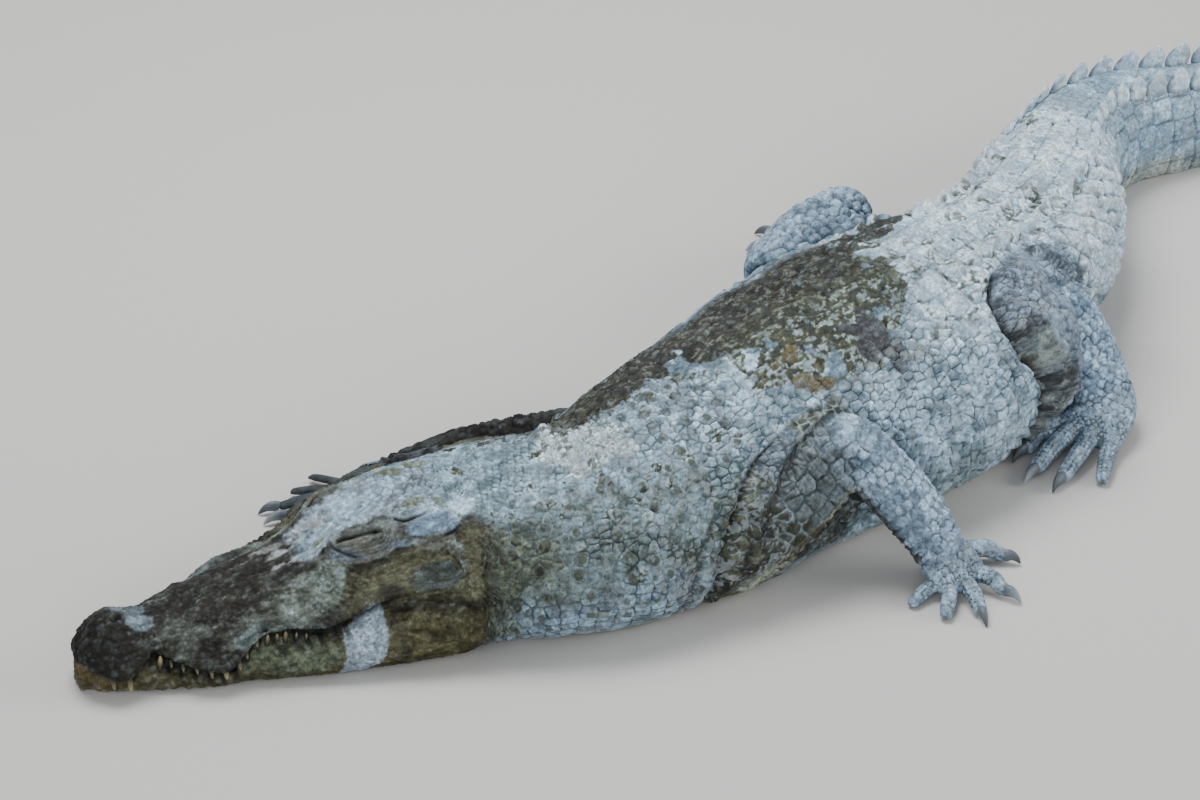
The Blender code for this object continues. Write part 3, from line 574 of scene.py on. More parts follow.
def body_coords(p):
    """Station along the back, distance to the left of it."""
    s = np.empty(len(p))
    for i in range(0, len(p), 20000):
        q = p[i:i + 20000]
        d = (q[:, 0, None] - _CX) ** 2 + (q[:, 1, None] - _CY) ** 2
        s[i:i + 20000] = _CS[np.argmin(d, 1)]
    for _ in range(4):
        x, y, h = spine(s)
        s = np.clip(s + .85 * ((p[:, 0] - x) * np.cos(h) + (p[:, 1] - y) * np.sin(h)), -.03, LENGTH + .03)
    x, y, h = spine(s)
    left = (p[:, 0] - x) * np.sin(h) - (p[:, 1] - y) * np.cos(h)
    return s, left


_TS = np.linspace(.5, LENGTH, 344)
_TA = np.linspace(-math.pi, math.pi, 361)
_SL, _SZ = body_section(np.repeat(_TS, 361), np.tile(_TA, 344))
_SL, _SZ = _SL.reshape(344, 361), _SZ.reshape(344, 361)
_ARC = np.concatenate([np.zeros((344, 1)), np.cumsum(np.hypot(np.diff(_SL, axis=1), np.diff(_SZ, axis=1)), 1)], 1)
_ARC -= _ARC[:, 180:181]


def section_place(s, left, z):
    """Angle round the body, arc length from the back's midline, and how far outside the section the point is."""
    top, mid = back_height(s), widest(s)
    w = np.where(left > 0, left_width(s), right_width(s))
    squash = np.interp(s, (0.9, 1.3, 2.0, 2.8), (1.0, 1.0, 0.86, 0.82))
    above = z > mid
    q = (np.abs(left) / w) ** np.where(above, 1 / squash, 1 / .86)
    c = np.where(above, (np.abs(z - mid) / (top - mid)), -(np.abs(z - mid) / (mid * 1.22)) ** (1 / .92))
    angle = np.arctan2(q, c) * np.sign(left + 1e-12)
    fs = np.clip((s - _TS[0]) / (_TS[1] - _TS[0]), 0, 342.999)
    fa = np.clip((angle + math.pi) / (_TA[1] - _TA[0]), 0, 359.999)
    i, j = fs.astype(int), fa.astype(int)
    fs, fa = fs - i, fa - j
    arc = ((_ARC[i, j] * (1 - fs) + _ARC[i + 1, j] * fs) * (1 - fa)
           + (_ARC[i, j + 1] * (1 - fs) + _ARC[i + 1, j + 1] * fs) * fa)
    rho = np.hypot(np.abs(left) / w, np.where(above, (z - mid) / (top - mid), (z - mid) / (mid * 1.22)))
    out = (rho - 1) * np.minimum(w, top - mid)
    return angle, arc, out


def arc_place(s, arc):
    """World points on the body at a station and arc length from the midline."""
    s, arc = np.broadcast_arrays(np.asarray(s, float), np.asarray(arc, float))
    out = np.empty((len(s), 3))
    ok = np.ones(len(s), bool)
    for k in range(len(s)):
        i = int(np.clip(round((s[k] - _TS[0]) / (_TS[1] - _TS[0])), 0, 343))
        ok[k] = _ARC[i, 0] < arc[k] < _ARC[i, -1]
        ang = np.interp(arc[k], _ARC[i], _TA)
        l, z = body_section(np.array([s[k]]), np.array([ang]))
        out[k] = place(s[k], l[0], z[0])
    return out, ok


class Tube:
    """Centre line of a limb piece, to find where a point lies on it."""

    def __init__(self, name, limb, kind, stations):
        self.name, self.limb, self.kind = name, limb, kind
        c = np.array([row[0] for row in stations], float) - np.array([ORIGIN[0], ORIGIN[1], 0.0])
        seg = np.concatenate([[0], np.cumsum(np.linalg.norm(np.diff(c, axis=0), axis=1))])
        self.length = seg[-1]
        v = np.linspace(0, 1, 49)
        seg = seg / seg[-1]
        self.c = np.stack([curve(np.column_stack([seg, c[:, k]]))(v) for k in range(3)], -1)
        self.a = curve(np.column_stack([seg, [row[1] for row in stations]]))(v)
        self.b = curve(np.column_stack([seg, [row[2] for row in stations]]))(v)
        t = np.gradient(self.c, axis=0)
        self.t = t / np.linalg.norm(t, axis=1)[:, None]
        side = np.cross(self.t, (0, 0, 1.0))
        self.side = side / (np.linalg.norm(side, axis=1)[:, None] + 1e-12)
        self.up = np.cross(self.side, self.t)
        self.v = v

    def coords(self, p):
        """Distance along, angle round, distance outside."""
        k = np.empty(len(p), int)
        for i in range(0, len(p), 20000):
            d = ((p[i:i + 20000, None, :] - self.c[None]) ** 2).sum(-1)
            k[i:i + 20000] = np.argmin(d, 1)
        d = p - self.c[k]
        along = (d * self.t[k]).sum(1)
        x, y = (d * self.side[k]).sum(1), (d * self.up[k]).sum(1)
        ang = np.arctan2(y / self.b[k], x / self.a[k])
        rho = np.hypot(x / self.a[k], y / self.b[k])
        r = np.minimum(self.a[k], self.b[k])
        ends = np.where((k == 0) & (along < 0) | (k == 48) & (along > 0), np.abs(along), 0)
        out = np.hypot(rho * r, ends) - r
        return self.v[k] * self.length + np.where((k == 0) | (k == 48), along, 0), ang, out

    def point(self, along, ang):
        f = np.clip(np.asarray(along) / self.length, 0, 1) * 48
        i = np.minimum(f.astype(int), 47)
        f = (f - i)[:, None]
        lerp = lambda arr: arr[i] * (1 - f) + arr[i + 1] * f
        a = (self.a[i] * (1 - f[:, 0]) + self.a[i + 1] * f[:, 0])[:, None]
        b = (self.b[i] * (1 - f[:, 0]) + self.b[i + 1] * f[:, 0])[:, None]
        return lerp(self.c) + lerp(self.side) * np.cos(ang)[:, None] * a + lerp(self.up) * np.sin(ang)[:, None] * b


TUBE = [Tube(*t) for t in TUBES]


def rump_over(s, arc, tube):
    """Where the rump's own blocks run on over the root of the near thigh."""
    root = np.array([t.limb == "hind_left" and t.kind == "upper" for t in TUBE] + [False])[tube]
    return root * smooth((s - thigh_rear(arc)) / .024 + .5) * smooth((.285 - arc) / .035)


def where_on(p):
    """Every measure of place used by shape and colour, as a dictionary of arrays."""
    s, left = body_coords(p)
    z = p[:, 2]
    angle, arc, out = section_place(s, left, z)
    tube = np.full(len(p), -1)
    tube_out = np.full(len(p), 9.0)
    along, around = np.zeros(len(p)), np.zeros(len(p))
    for k, t in enumerate(TUBE):
        lo = t.c.min(0) - max(t.a.max(), t.b.max()) - .03
        hi = t.c.max(0) + max(t.a.max(), t.b.max()) + .03
        near = np.nonzero(np.all((p > lo) & (p < hi), 1))[0]
        if not len(near):
            continue
        al, an, ex = t.coords(p[near])
        better = ex < tube_out[near]
        pick = near[better]
        tube[pick], tube_out[pick], along[pick], around[pick] = k, ex[better], al[better], an[better]
    limb = smooth((np.where(s < .56, 9.0, out) - tube_out) / .012 + .35)
    limb = np.where(tube >= 0, limb, 0)
    limb = limb * (1 - rump_over(s, arc, tube))
    return dict(p=p, s=s, left=left, z=z, angle=angle, arc=arc, out=out, tube=tube, tube_out=tube_out,
                along=along, around=around, limb=limb, u=s / HEAD)


# ---------------------------------------------------------------- head girth coordinate
_HU = np.linspace(0, 1.09, 110)
_HF = np.linspace(0, math.pi, 181)
_HG = np.zeros((110, 181))
_HR = np.zeros((110, 181))
for _i, _u in enumerate(_HU):
    _half = np.vstack([upper_half(_u, 8), lower_half(_u, 8)[1:]])
    _mid = .45 * _half[0, 1]
    _seg = np.concatenate([[0], np.cumsum(np.linalg.norm(np.diff(_half, axis=0), axis=1))])
    _phi = np.maximum.accumulate(np.arctan2(_half[:, 0], _half[:, 1] - _mid))
    _HG[_i] = np.interp(_HF, _phi, _seg)
    _HR[_i] = np.interp(_HF, _phi, np.hypot(_half[:, 0], _half[:, 1] - _mid))


def head_girth(u, left, z):
    """Distance round the head's section from the midline of its top, always positive."""
    mid = .45 * crown(u) * HEAD
    phi = np.arctan2(np.abs(left), z - mid)
    fu = np.clip(u / _HU[1], 0, 108.999)
    ff = np.clip(phi / _HF[1], 0, 179.999)
    i, j = fu.astype(int), ff.astype(int)
    fu, ff = fu - i, ff - j
    return ((_HG[i, j] * (1 - fu) + _HG[i + 1, j] * fu) * (1 - ff)
            + (_HG[i, j + 1] * (1 - fu) + _HG[i + 1, j + 1] * fu) * ff)


def to_line(u, left, z, points):
    """Distance, in head lengths, from points on the head to a path (u, out, up), mirrored on both sides."""
    q = np.stack([u, np.abs(left) / HEAD, z / HEAD], 1)
    best = np.full(len(q), 9.0)
    at = np.zeros(len(q))
    points = np.array(points, float)
    for k in range(len(points) - 1):
        a, b = points[k], points[k + 1]
        d = b - a
        t = np.clip(((q - a) @ d) / (d @ d), 0, 1)
        r = np.linalg.norm(q - a - t[:, None] * d, axis=1)
        at = np.where(r < best, k + t, at)
        best = np.minimum(best, r)
    return best, at


def through3(points, steps=5):
    p = np.array(points, float)
    p = np.vstack([2 * p[0] - p[1], p, 2 * p[-1] - p[-2]])
    out = []
    for i in range(1, len(p) - 2):
        for t in np.arange(steps) / steps:
            out.append(.5 * (2 * p[i] + (p[i + 1] - p[i - 1]) * t
                             + (2 * p[i - 1] - 5 * p[i] + 4 * p[i + 1] - p[i + 2]) * t * t
                             + (3 * p[i] - p[i - 1] - 3 * p[i + 1] + p[i + 2]) * t**3))
    out.append(p[-2])
    return np.array(out)


# paths on the head: station, out, up, in head lengths
EYE_SLIT = through3(((.700, .098, .303), (.728, .112, .314), (.760, .122, .321), (.795, .126, .323)))
EYE_SEAM = through3(((.795, .126, .323), (.845, .150, .316), (.890, .168, .304), (.930, .182, .298), (.990, .190, .303), (1.044, .193, .310)))
LOWER_LID = through3(((.672, .094, .296), (.690, .113, .287), (.712, .136, .280), (.735, .155, .277), (.780, .160, .282), (.827, .165, .288), (.888, .176, .293)))
TABLE_EDGE = through3(((.855, .118, .340), (.880, .132, .338), (.910, .134, .344), (.946, .130, .348), (1.000, .148, .347), (1.054, .162, .344)))
LID_TOP = through3(((.690, .082, .306), (.715, .088, .322), (.750, .098, .333), (.790, .108, .336), (.830, .120, .333)))
EAR_TAIL = through3(((1.054, .162, .344), (1.085, .168, .338), (1.120, .172, .330)))
ORBIT = through3(((.670, .088, .285), (.708, .070, .306), (.767, .072, .328), (.810, .100, .336), (.850, .110, .340)))


def head_mask(w):
    return smooth((.585 - w["s"]) / .03) * (1 - w["limb"])


# edges of the near arm and near thigh where they lie against the body: arc length, station
ARM_FRONT = ((.12, .990), (.143, .962), (.153, .923), (.168, .893), (.187, .872), (.210, .857), (.236, .842), (.287, .833), (.36, .830))
ARM_REAR = ((.12, 1.070), (.184, 1.063), (.202, 1.045), (.213, 1.018), (.229, 1.003), (.260, .996), (.273, .975), (.296, .955), (.36, .925))
THIGH_FRONT = ((.095, 1.480), (.101, 1.466), (.117, 1.423), (.153, 1.386), (.200, 1.376), (.250, 1.386), (.292, 1.407), (.38, 1.412))
THIGH_REAR = ((.095, 1.54), (.106, 1.575), (.140, 1.600), (.209, 1.590), (.30, 1.585), (.38, 1.58))
arm_front, arm_rear, thigh_front, thigh_rear = curve(ARM_FRONT), curve(ARM_REAR), curve(THIGH_FRONT), curve(THIGH_REAR)


def near_limbs(w):
    """How far inside the patch of near arm or thigh a point lies: (front distance, rear distance, mask) for each."""
    s, a = w["s"], w["arc"]
    fa, ra = s - arm_front(a), arm_rear(a) - s
    ft, rt = s - thigh_front(a), thigh_rear(a) - s
    arm = smooth(fa / .010 + .5) * smooth(ra / .014 + .5) * smooth((a - .128) / .016)
    thigh = smooth(ft / .010 + .5) * smooth(rt / .020 + .5) * smooth((a - .088) / .020)
    return fa, ra, arm, ft, rt, thigh


def folds(w):
    """Height of folds, ridges and hollows of the skin itself, in metres."""
    p, s, arc, u, left, z = w["p"], w["s"], w["arc"], w["u"], w["left"], w["z"]
    limb = w["limb"]
    body = (1 - limb) * (1 - head_mask(w)) * smooth((LENGTH - s) / .5)
    h = np.zeros(len(p))
    warp = (fbm(p, .09, 5, 3) - .5)
    slow = fbm(p, .16, 6, 2) - .5
    # large unevenness
    h += body * (slow * .010 + warp * .003)
    # raised neck shields
    for cs, ca, r, tall in ((.693, -.088, .030, .012), (.722, -.030, .034, .012), (.745, .030, .034, .012),
                            (.750, .088, .018, .012), (.700, .030, .024, .008), (.665, -.050, .022, .006)):
        d = np.hypot(s - cs, arc - ca)
        h += body * tall * smooth(1 - d / r)
    # folds of loose skin on the neck and in front of the near arm
    side = smooth((np.abs(arc) - .10) / .08)
    h += body * side * bump(s, .60, .09) * .0035 * np.sin((s + .20 * warp + .12 * np.abs(arc)) * 2 * math.pi / .030)
    near_arm = bump(s, .865, .075) * smooth((arc - .13) / .06)
    h += body * near_arm * .0045 * np.sin((s + .10 * warp - .10 * arc) * 2 * math.pi / .034)
    # the near arm and thigh swell out of the body, with a crease in front
    fa, ra, arm, ft, rt, thigh = near_limbs(w)
    left_side = body * smooth((arc - .10) / .03)
    h += left_side * .0125 * smooth(fa / .045) * smooth(ra / .030) * smooth((arc - .125) / .05)
    h -= left_side * .0095 * np.exp(-(fa / .0075) ** 2) * smooth((arc - .138) / .02)
    h -= left_side * .0060 * np.exp(-((fa + .030) / .0070) ** 2) * smooth((arc - .17) / .03)
    h -= left_side * .0055 * np.exp(-((fa - .026 - .05 * np.maximum(arc - .2, 0)) / .0060) ** 2) * smooth((arc - .20) / .04)
    h += left_side * .0175 * smooth(ft / .032) * smooth(rt / .05) * smooth((arc - .085) / .05)
    h += left_side * .0190 * smooth(ft / .040) * smooth(rt / .05) * smooth((arc - .160) / .06) * smooth((.37 - arc) / .05)
    h -= left_side * .0135 * np.exp(-(ft / .0090) ** 2) * smooth((arc - .092) / .02)
    # oblique wrinkles round the thigh
    h += left_side * thigh * .0011 * np.sin((s + .35 * arc + .10 * warp) * 2 * math.pi / .021)
    # loose lower lobe of the near arm's skin
    h += left_side * .0150 * bump(s, .905, .075) * bump(z, .072, .070) * smooth(fa / .03)
    # long folds on the flanks
    flank = smooth((np.abs(arc) - .17) / .07) * smooth((s - 1.02) / .08) * smooth((1.52 - s) / .10)
    h += body * flank * .0030 * np.sin((np.abs(arc) - .22 * (s - 1.2) + .16 * warp) * 2 * math.pi / .052)
    # finer wrinkles along the belly's side, and round the rear of the jaw
    drawn = 1 - np.abs(fbm(np.stack([s * .22, arc, z * 0], 1), .016, 27, 3) - .5) * 4.5
    h -= body * smooth((np.abs(arc) - .20) / .06) * smooth((s - .62) / .1) * smooth((1.9 - s) / .2) * .0022 * np.clip(drawn, 0, 1)
    tail = smooth((s - 1.85) / .3)
    # limb folds
    kind = np.array([{"upper": 0, "lower": 1, "palm": 2, "digit": 3}[t.kind] for t in TUBE])[w["tube"]]
    joint = np.where(kind == 0, smooth((w["along"] - .10) / .07), np.where(kind == 1, smooth((.05 - w["along"]) / .05) + smooth((w["along"] - .10) / .05), 0))
    hind = np.array([t.limb.startswith("hind") for t in TUBE])[w["tube"]]
    h += limb * joint * np.where(hind & (kind == 0), .0007, .0020) * np.sin((w["along"] + .06 * warp) * 2 * math.pi / .017)
    h += limb * (kind < 2) * (slow * .006)
    # ---- head
    hd = head_mask(w)
    on = hd > 0
    if on.any():
        uu, ll, zz = u[on], left[on], z[on]
        q = p[on]
        g = np.zeros(on.sum())
        al, zh = np.abs(ll) / HEAD, zz / HEAD
        girth = head_girth(uu, ll, zz)
        rough = fbm(q, .030, 21, 3) - .5
        fine = fbm(q, .010, 23, 2) - .5
        snout = smooth((.72 - uu) / .1)
        lipz = lip(np.clip(uu, 0, 1.09))
        sideness = smooth((al - (upper_out(uu) - .060)) / .03)
        above = smooth((zh - lipz) / .02 - .2)
        # rugged bone under the snout's skin
        ridged = 1 - np.abs(fbm(q, .024, 31, 3) - .5) * 4
        g += above * (.0030 * rough + .0016 * fine + .0016 * np.clip(ridged, 0, 1)) * (0.5 + .5 * snout)
        g += (1 - above) * (.0022 * rough + .0012 * fine)
        # line of the closed mouth, from the snout to its corner
        mouth = smooth((.785 - uu) / .03) * smooth((uu - .004) / .01)
        d = np.abs(zh - lipz)
        g -= sideness * mouth * .0065 * np.exp(-(d / .0085) ** 2)
        # lips swell over the big teeth
        for cu, wide, tall in ((.075, .035, .004), (.285, .030, .003), (.335, .034, .005), (.475, .04, .0025)):
            g += sideness * tall * bump(uu, cu, wide) * np.exp(-((zh - lipz - .032) / .028) ** 2)
        # flutes of the lower jaw between its teeth
        flute = bump(uu, .47, .16) * sideness * smooth((lipz - zh) / .02) * smooth((zh - .015) / .03)
        g += flute * .0032 * np.sin((uu - .55 * (lipz - zh)) * 2 * math.pi / .043)
        flute = bump(uu, .25, .14) * sideness * smooth((lipz - zh) / .02)
        g += flute * .0016 * np.sin((uu - .4 * (lipz - zh)) * 2 * math.pi / .036)
        # nostril mound with its two slits
        g += .0035 * np.exp(-(((uu - .118) / .042) ** 2 + (al / .052) ** 2)) * above
        ring = np.hypot((uu - .112) / 1.25, al - .024)
        g += .0022 * np.exp(-((ring - .024) / .009) ** 2) * above
        g -= .0060 * np.exp(-((ring - .010) / .0055) ** 2) * above * smooth((.128 - uu) / .01)
        # step behind the nostrils and the notch for the fourth tooth
        g -= .0025 * bump(uu, .195, .04) * above * smooth((al - .02) / .05)
        # eyelids, ear flap
        d, at = to_line(uu, ll, zz, EYE_SLIT)
        g -= .0062 * np.exp(-(d / .0058) ** 2)
        g += .0026 * np.exp(-((d - .016) / .007) ** 2)
        d, at = to_line(uu, ll, zz, EYE_SEAM)
        g -= .0042 * np.exp(-(d / .0055) ** 2)
        d, at = to_line(uu, ll, zz, LOWER_LID)
        g -= .0036 * np.exp(-(d / .0060) ** 2)
        d2, at = to_line(uu, ll, zz, TABLE_EDGE)
        g -= .0058 * np.exp(-(d2 / .0065) ** 2)
        d3, at = to_line(uu, ll, zz, ORBIT)
        g += .0040 * np.exp(-(d3 / .018) ** 2)
        # the closed eye bulges
        d = np.sqrt(((uu - .757) / .075) ** 2 + ((al - .140) / .034) ** 2 + ((zh - .302) / .045) ** 2)
        g += .0042 * smooth(1 - d) ** .8
        # long lens of the ear flap
        d = np.sqrt(((uu - .955) / .110) ** 2 + ((al - .163) / .028) ** 2 + ((zh - .322) / .030) ** 2)
        g += .0030 * smooth(1 - d)
        # lengthwise creases of the lids
        d, at = to_line(uu, ll, zz, EYE_SLIT)
        g += .0009 * np.sin(d * 2 * math.pi / .0125) * smooth((.05 - d) / .02) * smooth((zh - .265) / .01)
        # hollow behind the mouth's corner and the bulge of the jaw muscle
        dd = np.sqrt(((uu - .905) / .075) ** 2 + ((al - .262) / .05) ** 2 + ((zh - .236) / .020) ** 2)
        g -= .0080 * smooth(1 - dd)
        dd = np.sqrt(((uu - .86) / .14) ** 2 + ((zh - .120) / .085) ** 2)
        g += .0050 * smooth(1 - dd) * smooth((al - .2) / .08)
        # folds that run back from the mouth's corner
        corner = smooth((uu - .77) / .04) * smooth((zh - .06) / .05) * smooth((.235 - zh) / .03) * smooth((al - .2) / .05)
        g += corner * .0022 * np.sin((zh + .10 * (uu - .8) + .25 * rough * .06) * 2 * math.pi / .026)
        # small folds over the cheek
        cheek = bump(uu, .66, .16) * smooth((zh - lipz - .01) / .03) * smooth((al - .12) / .05)
        g += cheek * .0012 * np.sin((uu * .6 + zh + rough * .02) * 2 * math.pi / .020)
        # rim of the skull table
        g += .0030 * bump(uu, 1.035, .035) * smooth((zh - .32) / .02) * smooth((.17 - al) / .03)
        g -= .0030 * bump(uu, 1.075, .030) * smooth((zh - .32) / .02)
        g -= .0030 * np.exp(-((al) / .03) ** 2) * smooth((zh - .32) / .02) * smooth((uu - .86) / .06) * smooth((1.05 - uu) / .03)
        # nothing stands out beyond the far lip in its notch
        calm = (ll < 0) * bump(uu, .455, .13) * np.exp(-((zh - lipz) / .060) ** 2)
        g *= 1 - np.clip(1.3 * calm, 0, 1)
        h[on] = h[on] * (1 - hd[on]) + g * hd[on]
    return h


# ---------------------------------------------------------------- roots of the scales
SEED = dict(p=[], lie=[], pitch=[], high=[], dome=[], keel=[], groove=[], kind=[])
GRAIN, NET, SCUTE_BACK, OVAL, BELLY, WHORL, LIMB, TOE, HEADSCALE, KNOB = range(10)


def add_seeds(p, lie, pitch, high, dome, keel, groove, kind):
    n = len(p)
    if not n:
        return
    for key, value in (("p", p), ("lie", lie)):
        SEED[key].append(np.asarray(value, float).reshape(n, 3))
    for key, value in (("pitch", pitch), ("high", high), ("dome", dome), ("keel", keel), ("groove", groove), ("kind", kind)):
        SEED[key].append(np.broadcast_to(np.asarray(value, float), (n,)).copy())


def body_lattice(s0, s1, ds, a0, a1, da, jitter, stagger, **attr):
    """Rows of roots across the body between two stations and two arc lengths (a function of the station or a number)."""
    S, A = [], []
    for r, s in enumerate(np.arange(s0, s1 - 1e-6, ds)):
        lo = a0(s) if callable(a0) else a0
        hi = a1(s) if callable(a1) else a1
        width = da(s) if callable(da) else da
        n = max(1, int(round((hi - lo) / width)))
        off = (.5 * (r % 2)) if stagger else 0.0
        a = lo + (np.arange(n) + .5 + off) * (hi - lo) / n
        S.append(np.full(n, s))
        A.append(a)
    S, A = np.concatenate(S), np.concatenate(A)
    S = S + rng.uniform(-jitter, jitter, len(S)) * ds
    A = A + rng.uniform(-jitter, jitter, len(A)) * (da(S) if callable(da) else da)
    p, ok = arc_place(np.clip(S, .5, LENGTH), A)
    x, y, h = spine(S)
    lie = np.stack([np.cos(h), np.sin(h), 0 * h], 1)
    put = {k: (v(S, A) if callable(v) else np.full(len(S), v)) for k, v in attr.items()}
    sel = ok & (p[:, 2] > -.01)
    add_seeds(p[sel], lie[sel], ds, *(put[k][sel] for k in ("high", "dome", "keel", "groove", "kind")))


def full_arc(s):
    i = int(np.clip(round((s - _TS[0]) / (_TS[1] - _TS[0])), 0, 343))
    return _ARC[i, -1]


def back_edge(s):
    return float(np.interp(s, (.80, .95, 1.1, 1.3, 1.5, 1.7, 1.9, 2.0), (.100, .115, .150, .165, .130, .105, .085, .080)))


def whorl_keel(s, a):
    return .0010 + .0012 * np.cos(a * 40)


def back_keel(s, a):
    late = smooth((s - 1.22) / .26)
    col = np.abs(a)
    outer = bump(col, .075, .030) * smooth((s - 1.24) / .16)
    inner = bump(col, .025, .030) * .66
    edge = bump(col, .125, .030) * .74
    return .0014 + late * .0165 * np.clip(outer + inner + edge, 0, 1)


# granules and net of the neck: fine grain, with larger dark spots set among it
body_lattice(.575, .935, .0102, lambda s: -min(.235, full_arc(s)), lambda s: min(.235, full_arc(s)), .0100, .24, True,
             high=.0016, dome=.0007, keel=0.0, groove=.0016, kind=GRAIN)
body_lattice(.640, .935, .0330, lambda s: .070, lambda s: .300, .0310, .20, True, high=.0022, dome=.0016, keel=0.0, groove=.0020, kind=NET)
body_lattice(.640, .935, .0330, lambda s: -.300, lambda s: -.070, .0310, .20, True, high=.0022, dome=.0016, keel=0.0, groove=.0020, kind=NET)
body_lattice(.800, .935, .0300, -.060, .060, .0300, .20, True, high=.0022, dome=.0014, keel=.0008, groove=.0020, kind=NET)
for _side in (1, -1):
    body_lattice(.575, .93, .0150, lambda s: .235 if _side > 0 else -.36, lambda s: .36 if _side > 0 else -.235, .0150, .12, True,
                 high=.0018, dome=.0007, keel=0.0, groove=.0018, kind=BELLY)
    # flanks
    body_lattice(.93, 1.60, .0158, lambda s: (back_edge(s) if _side > 0 else -.275), lambda s: (.275 if _side > 0 else -back_edge(s)), .0152, .26, True,
                 high=.0011, dome=.0007, keel=lambda s, a: .0002 + .0034 * (rng.random(len(s)) < .12), groove=.0018, kind=OVAL)
    body_lattice(.93, 1.60, .0200, lambda s: .275 if _side > 0 else -full_arc(s), lambda s: full_arc(s) if _side > 0 else -.275, .0190, .08, False,
                 high=.0013, dome=.0006, keel=0.0, groove=.0015, kind=BELLY)
    body_lattice(1.60, 2.02, .0300, lambda s: back_edge(s) if _side > 0 else -full_arc(s), lambda s: full_arc(s) if _side > 0 else -back_edge(s), .0290, .08, True,
                 high=.0028, dome=.0022, keel=lambda s, a: .0090 * smooth((.29 - np.abs(a)) / .05), groove=.0052, kind=WHORL)
# near arm and thigh where they lie on the body
body_lattice(.835, 1.065, .0270, .140, .345, .0285, .07, False, high=.0026, dome=.0010, keel=0.0, groove=.0030, kind=LIMB)
body_lattice(1.385, 1.600, .0120, .095, .36, .0155, .20, True, high=.0014, dome=.0006, keel=0.0, groove=.0014, kind=LIMB)


def columns(s0, s1, ds, width, reach, **attr):
    """Scutes of the back in straight columns."""
    n = int(round(reach / width))
    body_lattice(s0, s1, ds, -n * width, n * width, width, .06, False, **attr)


# scutes of the back in rows
body_lattice(.935, 1.28, .0190, lambda s: -back_edge(s), lambda s: back_edge(s), .0185, .24, True,
             high=.0016, dome=.0009, keel=lambda s, a: .0030 * (rng.random(len(s)) < .3), groove=.0022, kind=OVAL)
columns(1.29, 1.50, .0430, .050, .150, high=.0020, dome=.0008, keel=back_keel, groove=.0022, kind=SCUTE_BACK)
columns(1.51, 2.02, .0430, .050, .100, high=.0022, dome=.0008, keel=back_keel, groove=.0024, kind=SCUTE_BACK)
# whorls of the tail
body_lattice(2.02 + SCUTE / 2, CREST_JOIN, SCUTE, lambda s: -full_arc(s), lambda s: full_arc(s), lambda s: .0400, .03, False,
             high=.0024, dome=.0010, keel=.0008, groove=.0026, kind=WHORL)
body_lattice(CREST_JOIN + FIN / 2, LENGTH, FIN, lambda s: -full_arc(s), lambda s: full_arc(s), lambda s: np.interp(s, (2.9, 3.9), (.030, .012)), .03, False,
             high=lambda s, a: np.interp(s, (2.9, 3.9), (.0022, .0006)), dome=.0006, keel=.0004, groove=.0022, kind=WHORL)

for _k, _t in enumerate(TUBE):
    _hind = _t.limb.startswith("hind")
    _step, _wide, _high, _dome, _keel, _groove, _kind = {
        "upper": (.0270, .0280, .0026, .0012, .0, .0028, LIMB), "lower": (.0165, .0165, .0019, .0012, .0006, .0018, LIMB),
        "palm": (.0110, .0110, .0013, .0008, .0, .0013, TOE), "digit": (.0085, .0095, .0011, .0006, .0, .0011, TOE)}[_t.kind]
    if _hind and _t.kind == "upper":
        _step, _wide, _high = .0120, .0155, .0014
    if _t.limb == "hind_right" and _t.kind != "digit":
        _step, _wide, _high, _dome, _keel = .020, .020, .0022, .0022, .0020
    _row = 0
    for _al in np.arange(_step * .3, _t.length + (.004 if _t.kind == "digit" else .02), _step):
        _f = min(1.0, _al / _t.length)
        _ra, _rb = np.interp(_f, _t.v, _t.a), np.interp(_f, _t.v, _t.b)
        _n = max(5, int(round(math.pi * (_ra + _rb) / _wide)))
        _an = (np.arange(_n) + .5 * (_row % 2 if _t.kind != "digit" else 0)) * 2 * math.pi / _n + math.pi / 2
        _row += 1
        _al_j = _al + rng.uniform(-.12, .12, _n) * _step
        _an = _an + rng.uniform(-.10, .10, _n) * 2 * math.pi / _n
        _pts = _t.point(_al_j, _an)
        _lie = _t.t[np.minimum((_al_j / _t.length * 48).astype(int), 48)]
        add_seeds(_pts, _lie, _step, _high, _dome, _keel, _groove, _kind)
SEEDS = {k: np.concatenate(v) for k, v in SEED.items()}


# ---------------------------------------------------------------- colours
def blob(x, y, cx, cy, rx, ry):
    return smooth(1.35 - np.hypot((x - cx) / rx, (y - cy) / ry), 0, .7)


def moss_zone(S, A):
    return np.maximum.reduce([blob(S, A, 1.12, -.115, .220, .095), blob(S, A, .870, -.115, .150, .060), blob(S, A, 1.13, -.035, .185, .075),
                              blob(S, A, 1.12, .060, .130, .070) * .86, blob(S, A, .745, -.135, .06, .04), blob(S, A, 1.30, -.10, .13, .05) * .75,
                              blob(S, A, 1.43, -.09, .10, .035) * .66, blob(S, A, 1.10, -.22, .22, .09), blob(S, A, 1.26, .02, .06, .05) * .8,
                              blob(S, A, .945, .00, .035, .03) * .5])


def jaw_reach(arc):
    """Station to which the head's brown reaches back over the neck, by arc length from the midline."""
    return np.interp(np.abs(arc), (0, .09, .12, .16, .20, .24, .28, .32, .36, .42), (.560, .560, .592, .642, .652, .638, .606, .572, .548, .535))


